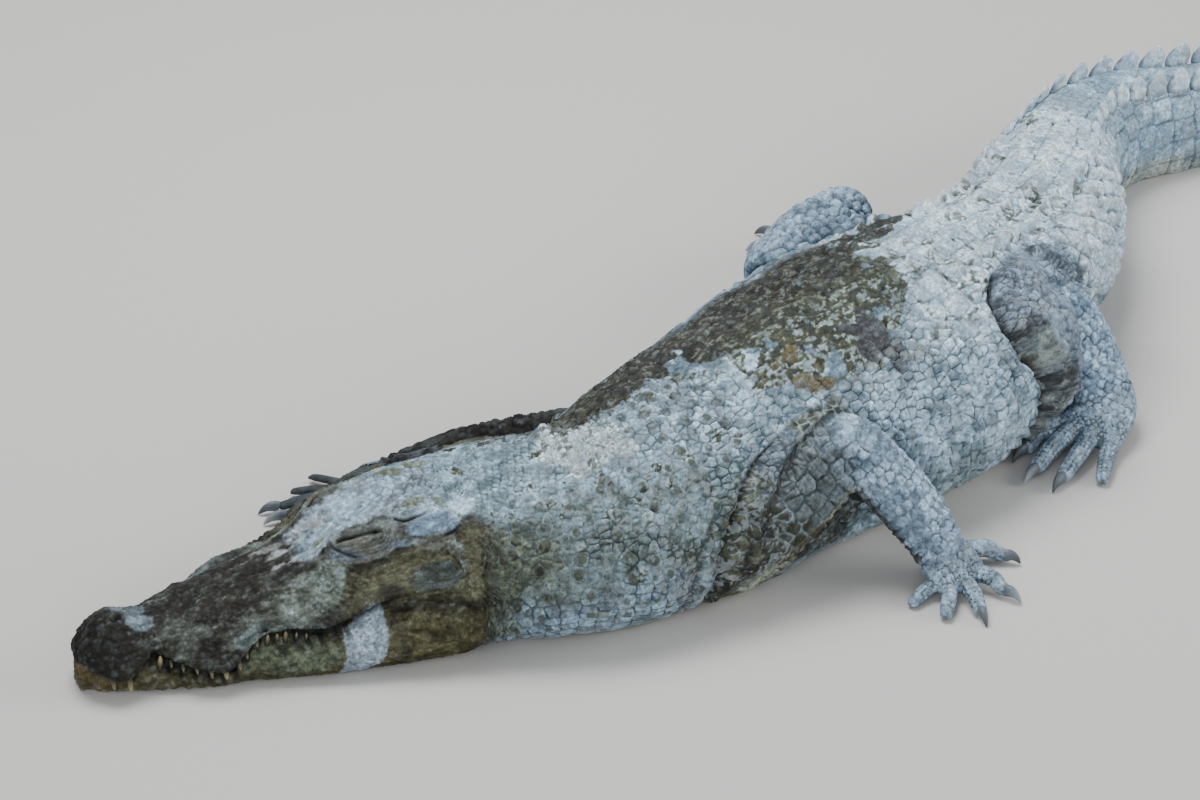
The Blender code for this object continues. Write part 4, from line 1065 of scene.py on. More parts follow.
def paint(w):
    """Colour of the scales' tops and of the grooves between them, at every point."""
    p, s, arc, u, left, z = w["p"], w["s"], w["arc"], w["u"], w["left"], w["z"]
    n = len(p)
    n1, n2, n3, n4 = fbm(p, .16, 41, 3), fbm(p, .050, 43, 3), fbm(p, .016, 47, 3), fbm(p, .006, 53, 2)
    wa = fbm(p, .045, 61, 3) - .5
    wb = fbm(p, .045, 67, 3) - .5
    S, A = s + .05 * wa, arc + .05 * wb
    ragged = (n3 - .5) * .9 + (n2 - .5) * .5
    B = np.abs(A)

    # trunk: pale blue grey
    top = mix(lin(112, 132, 142), lin(204, 222, 232), smooth(n2 * .40 + n3 * .60, .32, .66))
    deep = mix(lin(44, 54, 58), lin(84, 96, 100), n2)
    # rear half of the back and the hips are whitest
    rear = smooth(S + .35 * A, 1.24, 1.36) * smooth(.30 - B, 0, .12)
    top = mix(top, mix(lin(188, 208, 220), lin(240, 251, 255), smooth(n3, .28, .56)), rear)
    deep = mix(deep, mix(lin(82, 94, 98), lin(150, 168, 178), smooth(n2, .35, .60)), rear)
    # neck: thin pale net over grey green grains, paler above
    neck = smooth((.92 - S) / .08)
    upper = smooth((.115 - B) / .05)
    grain = mix(mix(lin(84, 95, 90), lin(150, 168, 172), smooth(n3 * .6 + n2 * .4, .3, .7)),
                mix(lin(128, 146, 152), lin(196, 214, 222), smooth(n3 * .6 + n2 * .4, .3, .7)), upper)
    top = mix(top, grain, neck)
    deep = mix(deep, mix(lin(116, 132, 132), lin(170, 186, 190), n3), neck * smooth(n2, .30, .50) * (1 - .5 * upper))
    low = smooth((B - .235) / .04) * neck
    top = mix(top, mix(lin(100, 114, 124), lin(176, 194, 208), smooth(n3, .3, .7)), low * .85)
    deep = mix(deep, lin(54, 62, 66), low)
    fore = bump(S, .90, .10) * smooth((.14 - A) / .03) * smooth((A + .06) / .05)
    top = mix(top, mix(lin(130, 146, 154), lin(206, 222, 230), smooth(n3, .34, .62)), fore * .9)
    deep = mix(deep, lin(66, 76, 80), fore)
    # cream shields on the neck
    shield = np.maximum.reduce([blob(S, A, .705, -.070, .040, .055), blob(S, A, .735, -.010, .046, .050), blob(S, A, .745, .030, .035, .030)])
    shield = smooth(shield + ragged * .5, .35, .75)
    top = mix(top, mix(lin(196, 204, 202), lin(240, 245, 243), smooth(n3, .3, .7)), shield)
    top = mix(top, lin(104, 106, 96), shield * smooth(n4 * .6 + n3 * .4, .57, .66) * .65)
    deep = mix(deep, lin(150, 156, 150), shield)
    dark = blob(S, A, .752, .088, .014, .016)
    top = mix(top, lin(92, 88, 78), smooth(dark + ragged * .4, .4, .8))
    # light plaques on the fore back
    pale = np.maximum.reduce([blob(S, A, .960, -.045, .018, .055), blob(S, A, .972, .020, .020, .030), blob(S, A, 1.018, .018, .012, .018),
                              blob(S, A, .90, .03, .05, .03) * .7, blob(S, A, 1.08, .095, .02, .02) * .8])
    # moss over the fore back
    moss = moss_zone(S, A)
    streaky = fbm(np.stack([s * .42, A, z * .5], 1), .0082, 141, 3)
    moss = smooth(moss - pale * .85 + ragged * .95 + (streaky - .5) * .9 + .16 * smooth((-.02 - A) / .05), .26, .50)
    olive = smooth((A + .070) / .06)
    dark_moss = mix(lin(17, 15, 10), lin(72, 67, 45), smooth(streaky * .55 + n4 * .45, .34, .74))
    light_moss = mix(lin(38, 39, 24), lin(112, 116, 82), smooth(streaky * .55 + n4 * .45, .32, .74))
    mossy = mix(dark_moss, light_moss, olive * .85)
    fleck = smooth(n4 * .6 + streaky * .4, .590, .650) * (.22 + .62 * smooth((A + .04) / .08))
    mossy = mix(mossy, mix(lin(170, 184, 184), lin(228, 238, 240), n3), fleck * .85)
    top = mix(top, mossy, moss * .97)
    deep = mix(deep, mix(lin(18, 17, 13), lin(44, 43, 30), n3), moss)
    # rust, plum and brown stains
    rust = np.maximum.reduce([blob(S, A, 1.05, .062, .022, .020), blob(S, A, 1.058, .122, .026, .016), blob(S, A, 1.215, .178, .020, .018)])
    top = mix(top, lin(112, 100, 66), smooth(rust + ragged * .4, .4, .85) * .75)
    plum = np.maximum(blob(S, A, 1.176, .086, .036, .042), .95 * blob(S, A, 1.196, .145, .022, .058))
    top = mix(top, mix(lin(50, 51, 56), lin(92, 95, 100), smooth(n4, .3, .7)), smooth(plum + ragged * .55, .38, .74) * .94)
    deep = mix(deep, lin(34, 34, 36), smooth(plum, .3, .7) * .8)
    # dark curved lines along the back: painted shade along the edges of the rows of scutes
    A = A + .022 * (n3 - .5) + .008 * np.sin(S * 2 * math.pi / .043)
    line = np.exp(-((A - (.058 - .03 * (S - 1.22))) / .0050) ** 2) * bump(S, 1.33, .16)
    line = np.maximum(line, np.exp(-((A - (.100 - .06 * (S - 1.30))) / .0045) ** 2) * bump(S, 1.36, .09))
    line = np.maximum(line, np.exp(-((A + .062 + .01 * np.sin(S * 40)) / .006) ** 2) * bump(S, 1.30, .22))
    line = np.maximum(line, np.exp(-((A - .004) / .004) ** 2) * bump(S, 1.88, .12) * .8)
    line = np.maximum(line, np.exp(-((A - .050) / .0045) ** 2) * bump(S, 1.62, .26))
    line = np.maximum(line, np.exp(-((A + .050) / .0045) ** 2) * bump(S, 1.70, .26) * .9)
    line = np.maximum(line, np.exp(-((A - .100) / .0045) ** 2) * bump(S, 1.60, .24) * .9)
    top = mix(top, lin(50, 54, 48), line * smooth(n2 * .5 + n4 * .5, .33, .52) * .95)
    A = arc + .05 * wb
    spots = smooth(streaky * .5 + n3 * .5, .60, .68) * smooth(s, 1.18, 1.3) * smooth((1.85 - s) / .2)
    top = mix(top, lin(84, 92, 86), spots * .75)
    # flank below: darker grooves, bluish knobs
    flank = smooth((B - .15) / .06) * smooth((s - .95) / .08) * smooth((1.62 - s) / .1)
    top = mix(top, mix(lin(112, 130, 140), lin(204, 222, 234), smooth(n3 * .6 + n2 * .4, .32, .66)), flank * .85)
    deep = mix(deep, mix(lin(40, 50, 56), lin(76, 88, 92), n2), flank)
    under = smooth((B - .29) / .07) * smooth((s - .95) / .08) * smooth((1.62 - s) / .1)
    top = mix(top, mix(lin(112, 124, 126), lin(182, 196, 202), smooth(n3 * .5 + n2 * .5, .3, .7)), under * .7)
    # tail
    tail = smooth((s - 2.02) / .25)
    ang = np.abs(w["angle"])
    top = mix(top, mix(lin(146, 169, 184), lin(210, 227, 236), smooth(n2 * .5 + n3 * .5, .3, .7)), tail)
    deep = mix(deep, mix(lin(84, 100, 112), lin(128, 146, 158), n2), tail)
    cream = smooth((ang - 1.75) / .35) * smooth((s - 2.02) / .3)
    blotch = smooth(n1 * .25 + n2 * .75, .52, .62)
    low_tail = mix(mix(lin(176, 172, 146), lin(206, 204, 184), n3), lin(80, 82, 82), blotch * .8)
    top = mix(top, low_tail, cream * .85)
    band = smooth(np.sin(s * 2 * math.pi / .30 + 2 * wa) * .5 + .5 + (n2 - .5) * .5, .72, .95) * tail
    top = mix(top, lin(96, 110, 122), band * .45)
    # belly
    belly = smooth((ang - 2.05) / .4) * smooth((s - .58) / .1)
    top = mix(top, mix(lin(178, 174, 156), lin(208, 208, 196), n2), belly * .75)
    deep = mix(deep, lin(110, 106, 92), belly * .6)
    # painted shade in the armpit and on the chest behind the near arm
    pit = blob(S, A, .995, .315, .070, .055)
    top = mix(top, mix(lin(52, 58, 54), lin(92, 98, 92), n3), pit * .9)
    deep = mix(deep, lin(22, 24, 20), pit)
    fold = bump(s, .855, .07) * smooth((arc - .15) / .06)
    top = mix(top, mix(lin(92, 94, 78), lin(150, 158, 156), n2), fold * .55)
    top = mix(top, mix(lin(140, 132, 98), lin(196, 190, 158), n3), bump(s, .87, .09) * smooth((.085 - z) / .04) * smooth(n2, .40, .55) * smooth(arc, .10, .15) * .7)

    # near arm and thigh where they lie on the body
    fa, ra, arm, ft, rt, thigh = near_limbs(w)
    arm_top = mix(mix(lin(54, 54, 42), lin(98, 100, 84), smooth(n3, .3, .7)), mix(lin(80, 91, 102), lin(130, 143, 154), smooth(n3, .3, .7)), smooth(n2 + .25 * (n1 - .5), .54, .68))
    arm_top = mix(arm_top, mix(lin(148, 140, 104), lin(206, 200, 168), n3), smooth((.138 + .022 * smooth((.96 - s) / .03) - z) / .045) * smooth(n2, .28, .44) * .92)
    arm_deep = mix(mix(lin(128, 142, 142), lin(178, 192, 194), smooth(n3, .3, .7)), lin(34, 34, 26), smooth(n2, .50, .60) * .85)
    top, deep = mix(top, arm_top, arm * .95), mix(deep, arm_deep, arm)
    hair = 1 - np.abs(fbm(p, .0100, 161, 3) - .5) * 5
    th_top = mix(lin(90, 98, 108), lin(156, 170, 184), smooth(n3 * .5 + n2 * .5, .3, .7))
    th_top = mix(th_top, lin(172, 182, 196), np.clip(hair, 0, 1) ** 2 * .55)
    th_front = smooth((.050 - ft) / .030) * smooth((A - .16) / .05)
    spotty = smooth(n3 * .55 + n2 * .45, .40, .62)
    th_top = mix(th_top, mix(lin(58, 54, 44), lin(112, 114, 104), spotty), th_front * .72)
    th_top = mix(th_top, lin(150, 148, 118), th_front * smooth(n3 * .7 + n2 * .3, .58, .68) * .5)
    top, deep = mix(top, th_top, thigh * .95), mix(deep, mix(lin(54, 60, 66), lin(140, 152, 156), smooth(n2, .5, .65)), thigh)
    on_left = smooth((arc - .10) / .03)
    # painted shade: dark lines in the creases where the near arm and thigh meet the body
    crease_shade = np.exp(-(fa / .0065) ** 2) * smooth((arc - .138) / .02) * .92
    crease_shade = np.maximum(crease_shade, np.exp(-((fa + .030) / .0055) ** 2) * smooth((arc - .18) / .03) * .65)
    crease_shade = np.maximum(crease_shade, np.exp(-((fa - .026 - .05 * np.maximum(arc - .2, 0)) / .0050) ** 2) * smooth((arc - .21) / .03) * .8)
    crease_shade = np.maximum(crease_shade, np.exp(-(ft / .0070) ** 2) * smooth((arc - .095) / .02) * .92) * on_left
    top, deep = mix(top, lin(34, 32, 26), crease_shade), mix(deep, lin(22, 20, 16), crease_shade)

    # ---- limbs
    limb = w["limb"]
    if (limb > 0).any():
        t_top, t_deep = top.copy(), deep.copy()
        for k, t in enumerate(TUBE):
            on = (w["tube"] == k) & (limb > 0)
            if not on.any():
                continue
            a, r, q2, q3, q4 = w["along"][on], w["around"][on], n2[on], n3[on], n4[on]
            zz = z[on]
            upness = np.sin(r)
            f = a / t.length
            grey = mix(lin(126, 142, 156), lin(196, 212, 226), smooth(q3 * .6 + q2 * .4, .3, .7))
            gdeep = mix(lin(66, 74, 80), lin(96, 106, 112), q2)
            if t.limb == "fore_left" and t.kind == "upper":
                olive_ = mix(lin(58, 59, 46), lin(108, 117, 119), smooth(q3 * .5 + q2 * .5, .34, .66))
                c = mix(olive_, grey, smooth(f, .75, 1.1))
                c = mix(c, mix(lin(96, 86, 58), lin(190, 186, 156), smooth(q2, .34, .5)), smooth((-.35 - upness) / .3) * .85)
                g = mix(lin(128, 142, 142), lin(178, 192, 194), smooth(q3, .3, .7))
                g = mix(g, lin(32, 32, 24), smooth(q2, .50, .60) * .85)
            elif t.limb == "fore_left" and t.kind == "lower":
                c = mix(grey, mix(lin(62, 52, 44), lin(96, 88, 78), q3), smooth((-.15 - upness) / .5) * .85)
                g = mix(lin(150, 164, 174), lin(92, 100, 106), smooth(q2, .4, .6))
                g = mix(g, lin(32, 28, 22), smooth((-.15 - upness) / .5))
            elif t.limb.startswith("fore_right"):
                c = mix(mix(lin(24, 24, 20), lin(58, 62, 62), smooth(q3, .3, .7)), mix(lin(80, 90, 100), lin(132, 142, 150), q4), smooth(q2 * .6 + q3 * .4, .56, .70) * .45)
                g = lin(30, 30, 26)
                g = np.broadcast_to(g, c.shape)
            elif t.limb == "hind_left" and t.kind == "upper":
                c = mix(lin(104, 114, 126), lin(166, 180, 192), smooth(q3 * .5 + q2 * .5, .3, .7))
                front = smooth((f - .15) / .3) * smooth((.45 - upness) / .5)
                c = mix(c, mix(lin(64, 60, 50), lin(138, 140, 124), smooth(q2 * .4 + q3 * .6, .40, .62)), front * .60)
                g = mix(lin(60, 64, 68), lin(88, 94, 98), q2)
            elif t.limb == "hind_left" and t.kind == "lower":
                c = mix(lin(140, 160, 178), lin(204, 222, 236), smooth(q3 * .5 + q2 * .5, .3, .7))
                inner = smooth((-.05 - upness) / .5)
                c = mix(c, mix(lin(176, 178, 158), lin(52, 50, 44), smooth(q2, .46, .56)), inner * .85)
                g = mix(lin(84, 96, 106), lin(152, 168, 180), smooth(q3, .35, .65))
            elif t.limb == "hind_right":
                c = mix(lin(108, 126, 142), lin(182, 200, 214), smooth(q3 * .6 + q2 * .4, .3, .7))
                g = mix(lin(48, 56, 62), lin(80, 90, 96), q2)
            else:
                c, g = grey, gdeep
            if t.kind in ("palm", "digit"):
                c = mix(c, mix(lin(116, 128, 140), lin(180, 196, 208), smooth(q3 * .5 + q4 * .5, .3, .7)), .6)
                under = smooth((-.15 - upness) / .4)
                c = mix(c, mix(lin(120, 108, 98), lin(156, 146, 136), q3), under * .6)
                g = mix(g, lin(62, 62, 60), .6)
            t_top[on], t_deep[on] = c, g
        top, deep = mix(top, t_top, limb), mix(deep, t_deep, limb)

    # the neck next to the jaw is stained olive
    stain = smooth((jaw_reach(arc) + .105 + .10 * (n2 - .5) + .05 * (n3 - .5) - s) / .12) * smooth((B - .10) / .04) * (1 - limb)
    top = mix(top, mix(lin(76, 78, 62), lin(130, 136, 122), smooth(n3 * .6 + n4 * .4, .3, .7)), stain * .82)
    deep = mix(deep, lin(96, 104, 94), stain * .6)
    # ---- head, whose colours reach back over the jaw's joint
    reach = jaw_reach(B)
    hd = smooth((reach + .090 * (n2 - .5) + .060 * (n3 - .5) - s) / .085 + .5) * (1 - w["limb"])
    on = hd > 0
    if on.any():
        uu, ll, zz = u[on], left[on], z[on]
        q = p[on]
        m1, m2, m3, m4 = n1[on], n2[on], n3[on], n4[on]
        long = np.stack([s[on] * .30, ll, zz], 1)
        grainy = fbm(long, .0075, 151, 3)
        speck = fbm(q, .0040, 153, 2)
        t = np.clip(.5 + .85 * (grainy - .5) + .55 * (m3 - .5) + .40 * (speck - .5), 0, 1)
        tm = np.clip(.5 + .8 * (m2 - .5) + .7 * (grainy - .5), 0, 1)
        G = head_girth(uu, ll, zz) + .012 * wa[on]
        U = uu + .020 * wb[on]
        rag = .45 * (m3 - .5) + .55 * (grainy - .5) + .25 * (m2 - .5)
        al, zh, lipz = np.abs(ll) / HEAD, zz / HEAD, lip(np.clip(uu, 0, 1.09))
        near = ll > 0
        # brown black snout
        c = mix(lin(19, 17, 13), lin(54, 51, 44), t)
        g = np.broadcast_to(lin(15, 14, 11), c.shape)
        # bluish and greenish patches over it: partly the hide's own tint, partly painted highlight where the snout's
        # sides catch the light
        c = mix(c, lin(92, 104, 102), smooth(m4 * .5 + grainy * .5, .56, .70) * .36)
        mid = np.maximum.reduce([blob(U, G, .60, .085, .14, .045), blob(U, G, .25, .060, .07, .03) * .75, blob(U, G, .42, .10, .08, .035) * .9])
        c = mix(c, mix(lin(48, 48, 38), lin(112, 120, 112), t), smooth(mid + rag * .8, .28, .98) * .60)
        c = mix(c, mix(lin(80, 94, 98), lin(124, 140, 144), t), smooth(blob(U, G, .42, .104, .055, .016) + rag * .7, .4, 1.0) * .45)
        c = mix(c, mix(lin(84, 92, 82), lin(146, 156, 146), t), smooth(blob(U, G, .610, .090, .095, .036) + rag * .7, .28, .95) * .66)
        # skull: blue white
        skull = smooth((U - .54) / .16) * smooth((.058 + .03 * smooth((U - .8) / .1) - G) / .024)
        c = mix(c, mix(lin(126, 138, 146), lin(206, 222, 232), t), smooth(skull + rag * .45, .25, .75))
        c = mix(c, lin(88, 98, 104), skull * smooth(grainy * .55 + m3 * .45, .54, .66) * .55)
        c = mix(c, lin(104, 96, 92), skull * smooth(m3 * .6 + m2 * .4, .60, .70) * .5)
        g = mix(g, mix(lin(52, 60, 64), lin(92, 102, 108), m2), skull)
        for a0, a1, w0 in ((-.012, -.05, .009), (.012, .02, .006), (-.034, .02, .007)):
            off = G * np.sign(ll) - a0 - a1 * (U - .55) + .010 * (m3 - .5)
            streak = np.exp(-(off / (w0 * 1.5)) ** 2) * smooth((U - .45) / .14) * smooth((.80 - U) / .12)
            c = mix(c, mix(lin(120, 116, 110), lin(204, 204, 200), t), smooth(streak * .8 + rag * 1.1, .35, .85) * .80)
        brown = smooth(grainy * .6 + m2 * .4, .56, .66) * bump(U, .62, .14) * smooth((.065 - G) / .02)
        c = mix(c, lin(74, 62, 52), brown * .6)
        tip = blob(U, al, .158, .028, .052, .034)
        c = mix(c, mix(lin(76, 84, 90), lin(140, 154, 162), t), smooth(tip + rag * .9, .35, .9) * .80 * (zh > .13))
        moss_ = np.maximum.reduce([blob(U, G * np.sign(ll), .675, .012, .02, .012), blob(U, G, .92, .045, .035, .012), blob(U, G, 1.0, .055, .03, .012)])
        c = mix(c, mix(lin(96, 98, 62), lin(132, 138, 104), m4), smooth(moss_ + rag * .5, .35, .8) * .8)
        orb = blob(U, G, .79, .072, .13, .034)
        c = mix(c, mix(lin(78, 80, 70), lin(150, 158, 156), t), smooth(orb + rag * .6, .30, .90) * .62)
        # jaw joint, cheek and lower jaw: olive brown
        cheek = smooth((G - .105) / .02) * smooth((U - .60) / .12) * smooth((zh - lipz) / .02 + smooth((U - .76) / .05))
        olive_c = mix(lin(56, 53, 36), lin(112, 114, 92), t)
        olive_c = mix(olive_c, lin(46, 40, 28), smooth(tm, .52, .75) * .5)
        c = mix(c, olive_c, cheek * .92)
        g = mix(g, lin(30, 28, 18), cheek)
        lower = smooth((lipz - zh) / .02) * smooth((.80 - uu) / .06) + smooth((.20 - zh) / .06) * smooth((uu - .76) / .06)
        lower = np.clip(lower, 0, 1)
        low_c = mix(lin(50, 47, 28), lin(106, 104, 76), t)
        low_c = mix(low_c, lin(40, 36, 22), smooth(tm, .54, .76) * .45)
        low_c = mix(low_c, mix(lin(66, 56, 32), lin(100, 90, 58), t), smooth((.12 - uu) / .05))
        green = blob(uu, zh, .50, .075, .14, .05)
        low_c = mix(low_c, mix(lin(64, 74, 58), lin(118, 132, 110), t), smooth(green + rag * .5, .3, .9) * .6)
        low_c = mix(low_c, lin(58, 56, 44), smooth((.045 - zh) / .03) * .5)
        c = mix(c, low_c, lower * .94)
        g = mix(g, lin(26, 24, 15), lower)
        # pale dust on the near lower jaw
        du, dg = (uu - .688 + .25 * (G - .222)) / .058, (G - .224) / .050
        dust = smooth((1.12 - np.maximum(np.abs(du), np.abs(dg)) - .16 * np.abs(du * dg) + rag * .22) / .16) * near
        c = mix(c, mix(lin(132, 142, 150), lin(190, 200, 206), t), dust * .95)
        c = mix(c, lin(70, 68, 62), dust * smooth(speck * .6 + m4 * .4, .55, .70) * .65)
        g = mix(g, lin(104, 112, 118), dust)
        # pale patch at the rear of the jaw joint
        ear = np.sqrt(((uu - 1.035) / .050) ** 2 + ((zh - .270) / .040) ** 2)
        c = mix(c, mix(lin(96, 106, 106), lin(168, 182, 186), t), smooth(1.15 - ear + rag * .9, .2, .9) * .65 * (al > .15))
        # lids and ear flap, drawn with fine concentric lines
        d_slit, _ = to_line(uu, ll, zz, EYE_SLIT)
        lid = np.sqrt(((uu - .757) / .092) ** 2 + ((al - .140) / .040) ** 2 + ((zh - .300) / .046) ** 2)
        lid = smooth(1.12 - lid + .06 * (m3 - .5), 0, .22)
        below = (zh < .318 - .10 * np.abs(uu - .76))
        lid_c = mix(lin(84, 88, 76), lin(122, 130, 128), np.clip(.5 + .5 * (speck - .5) + .5 * (grainy - .5), 0, 1))
        lid_c = mix(lid_c, lin(112, 100, 84), below * bump(uu, .745, .06) * .45)
        ringed = .5 + .5 * np.sin((d_slit + .010 * (m3 - .5)) * HEAD * 2 * math.pi / .0052)
        lid_c = mix(lid_c, lin(50, 52, 48), smooth(ringed, .70, .98) * smooth(d_slit, .006, .014) * .55)
        c = mix(c, lid_c, lid * .95)
        g = mix(g, lid_c * .6, lid)
        bag = blob(uu, zh, .700, .278, .055, .014) + .8 * blob(uu, zh, .860, .290, .060, .010)
        c = mix(c, mix(lin(70, 80, 94), lin(116, 130, 148), t), smooth(bag + rag * .5, .2, .9) * .50 * (al > .1))
        flap = np.sqrt(((uu - .965) / .105) ** 2 + ((al - .166) / .034) ** 2 + ((zh - .324) / .026) ** 2)
        flap = smooth(1.15 - flap, 0, .18)
        flap_c = mix(lin(82, 98, 114), lin(146, 164, 180), np.clip(.5 + .9 * (grainy - .5) + .6 * (m3 - .5), 0, 1))
        flap_c = mix(flap_c, lin(74, 82, 84), bump(uu, .995, .022) * .5)
        c = mix(c, flap_c, flap * .95)
        g = mix(g, flap_c * .6, flap)
        # streaky skin below the ear, grey with dark and pale hairlines
        wisp = blob(uu, zh, .97, .285, .10, .022) * (al > .12)
        c = mix(c, mix(lin(74, 72, 62), lin(130, 134, 126), t), smooth(wisp, .2, .8) * .6)
        # painted shade: dark lines in the lid slit, along the lids' seams, under the skull table's edge and along the
        # ear flap
        for path, wide, much in ((EYE_SLIT, .0078, 1.0), (EYE_SEAM, .0056, .96), (LOWER_LID, .0046, .85), (TABLE_EDGE, .0060, .96), (LID_TOP, .0036, .75), (EAR_TAIL, .0036, .75)):
            d, at = to_line(uu, ll, zz, path)
            slit_shade = np.exp(-(d / wide) ** 4) * much
            c, g = mix(c, lin(13, 12, 10), slit_shade), mix(g, lin(10, 9, 8), slit_shade)
        # painted shade in the corner of the mouth, in the hollow behind it and along the hollow's upper edge
        corner = np.sqrt(((uu - .765) / .060) ** 2 + ((zh - .226) / .020) ** 2 + ((al - .275) / .06) ** 2)
        corner = smooth(1.25 - corner + rag * .2, 0, .6)
        hollow_shade = np.sqrt(((uu - .905) / .090) ** 2 + ((zh - .236) / .022) ** 2 + ((al - .27) / .06) ** 2)
        hollow_shade = smooth(1.25 - hollow_shade + rag * .2, 0, .5)
        c = mix(c, lin(30, 27, 22), corner * .85)
        c = mix(c, mix(lin(34, 40, 38), lin(72, 84, 86), t), hollow_shade * .85)
        # painted shade: dark line along the upper edge of the hollow
        rim = np.exp(-(((zh - .252 - .02 * np.sin((uu - .82) * 18)) / .0055) ** 2)) * bump(uu, .92, .12) * (al > .2)
        c = mix(c, lin(12, 11, 9), rim * .85)
        # painted shade along the line of the closed mouth and in the gaps between the teeth below it
        d = zh - lipz
        lipside = smooth((al - (upper_out(uu) - .05)) / .03)
        mouth = smooth((.80 - uu) / .03) * np.exp(-((d + .006 * (m3 - .5)) / .0100) ** 2) * lipside * (1 - .75 * (ll < 0) * bump(uu, .455, .12))
        c, g = mix(c, lin(11, 10, 8), mouth * .97), mix(g, lin(9, 8, 6), mouth)
        tooth_gap_shade = (.5 + .5 * np.sin(uu * 2 * math.pi / .033 + 3 * m2)) ** 1.5
        under_lip_shade = smooth((d + .050) / .03) * smooth((.004 - d) / .006) * lipside * smooth((uu - .13) / .03) * smooth((.70 - uu) / .05)
        c = mix(c, lin(15, 14, 10), under_lip_shade * (.35 + .65 * smooth(tooth_gap_shade, .35, .65)) * .9)
        over_lip = smooth((d - .002) / .008) * smooth((.026 - d) / .012) * lipside * smooth((uu - .36) / .06) * smooth((.64 - uu) / .05)
        c = mix(c, mix(lin(74, 82, 76), lin(134, 146, 142), t), over_lip * .55)
        # front of the snout
        nose = smooth((.100 - U) / .06)
        c = mix(c, mix(lin(13, 12, 9), lin(36, 35, 29), t), nose * .9 * smooth((zh - lipz) / .03))
        # painted shade in the nostril slits
        ring = np.hypot((uu - .112) / 1.25, al - .024)
        nostril_shade = np.exp(-((ring - .010) / .007) ** 2) * (zh > .15) * smooth((.130 - uu) / .01)
        c = mix(c, lin(8, 8, 7), nostril_shade * .95)
        # under the jaw
        throat = smooth((.030 - zh) / .03)
        c = mix(c, mix(lin(140, 132, 104), lin(176, 172, 150), m3), throat * .35)
        # ear to neck: grey granules
        back = smooth((uu - .99) / .06) * smooth((.105 - B[on]) / .02)
        c = mix(c, top[on], back)
        g = mix(g, deep[on], back)
        # the neck's pale net begins over the brown
        net = smooth((s[on] - .570) / .08)
        g = mix(g, deep[on], net * .75)
        c = mix(c, top[on], net * smooth(grainy * .5 + m2 * .5, .44, .62) * .55)
        shade = (1 - .15 * smooth((.66 - uu) / .10) * (1 - lower * .6))[:, None]
        c, g = c * shade, g * shade
        top[on], deep[on] = mix(top[on], c, hd[on]), mix(deep[on], g, hd[on])
    # painted shade along the seams where a limb leaves the body
    seam = np.exp(-((np.abs(w["out"] - w["tube_out"]) + np.abs(w["out"])) / .0085) ** 2) * (w["tube"] >= 0) * (s > .62) * (1 - rump_over(s, arc, w["tube"]))
    top, deep = mix(top, lin(30, 30, 27), seam * .75), mix(deep, lin(20, 20, 17), seam * .8)
    # colder tones: a painted blue tint on the pale tops and the grooves that stands in for cool daylight
    pale = smooth(top.mean(1), .05, .30)[:, None]
    top = top * (1 - pale + pale * np.array((.90, 1.02, 1.13)))
    deep = deep * np.array((.95, 1.01, 1.06))
    return top, deep, (n2, n3, n4)


# ---------------------------------------------------------------- roots snapped to the surface, cells, relief
def tree_of(points):
    tree = KDTree(len(points))
    for i, q in enumerate(points):
        tree.insert(q, i)
    tree.balance()
    return tree


def head_roots(pts, rad, wanted_rounds=3):
    """Even scatter of roots over points, spaced by rad."""
    area = VOX_HEAD ** 2
    prob = area / (rad ** 2 * .80)
    pick = rng.random(len(pts)) < prob
    seeds = pts[pick]
    weight = 1 / rad ** 2
    for _ in range(wanted_rounds):
        tree = tree_of(seeds)
        near = np.array([tree.find(q)[1] for q in pts])
        total = np.bincount(near, weight, len(seeds))
        new = np.stack([np.bincount(near, weight * pts[:, k], len(seeds)) for k in range(3)], 1)
        live = total > 0
        seeds = new[live] / total[live][:, None]
    return seeds


def snap_roots(seeds, pts, limit):
    """Keep the roots that lie on the outer surface."""
    tree = tree_of(pts)
    dist, near = np.empty(len(seeds["p"])), np.empty(len(seeds["p"]), int)
    for i, q in enumerate(seeds["p"]):
        _, near[i], dist[i] = tree.find(q)
    keep = dist < limit
    out = {k: v[keep] for k, v in seeds.items()}
    much = np.where(dist[keep] > .0085, 1.0, .5)[:, None]
    out["p"] = pts[near[keep]] * much + out["p"] * (1 - much)
    # roots of different parts that crowd each other
    tree = tree_of(out["p"])
    drop = np.zeros(len(out["p"]), bool)
    for i, q in enumerate(out["p"]):
        if drop[i]:
            continue
        for _, j, d in tree.find_range(q, .46 * out["pitch"][i]):
            if j > i:
                drop[j] = True
    return {k: v[~drop] for k, v in out.items()}


def cells(pts, seeds, reach=2):
    tree = tree_of(seeds["p"])
    i1, i2 = np.empty(len(pts), int), np.empty(len(pts), int)
    for i, q in enumerate(pts):
        a, b = tree.find_n(q, 2)
        i1[i], i2[i] = a[1], b[1]
    P = seeds["p"]
    d1, d2 = ((pts - P[i1]) ** 2).sum(1), ((pts - P[i2]) ** 2).sum(1)
    gap = np.linalg.norm(P[i1] - P[i2], axis=1) + 1e-9
    return i1, (d2 - d1) / (2 * gap)


def plate_at(w, kind):
    """Where the hide is thin plates on bone: nearly flush, without grooves."""
    flush = np.maximum((kind == HEADSCALE) * smooth((.605 - w["s"]) / .02), smooth((.632 - w["s"]) / .06) * smooth((np.abs(w["arc"]) - .10) / .03))
    girth = head_girth(w["u"], w["left"], w["z"])
    pebbles = smooth((w["u"] - .83) / .07) * smooth((.064 - girth) / .016) * (w["s"] < .62)
    return flush * (1 - .80 * pebbles) * (w["limb"] < .5)


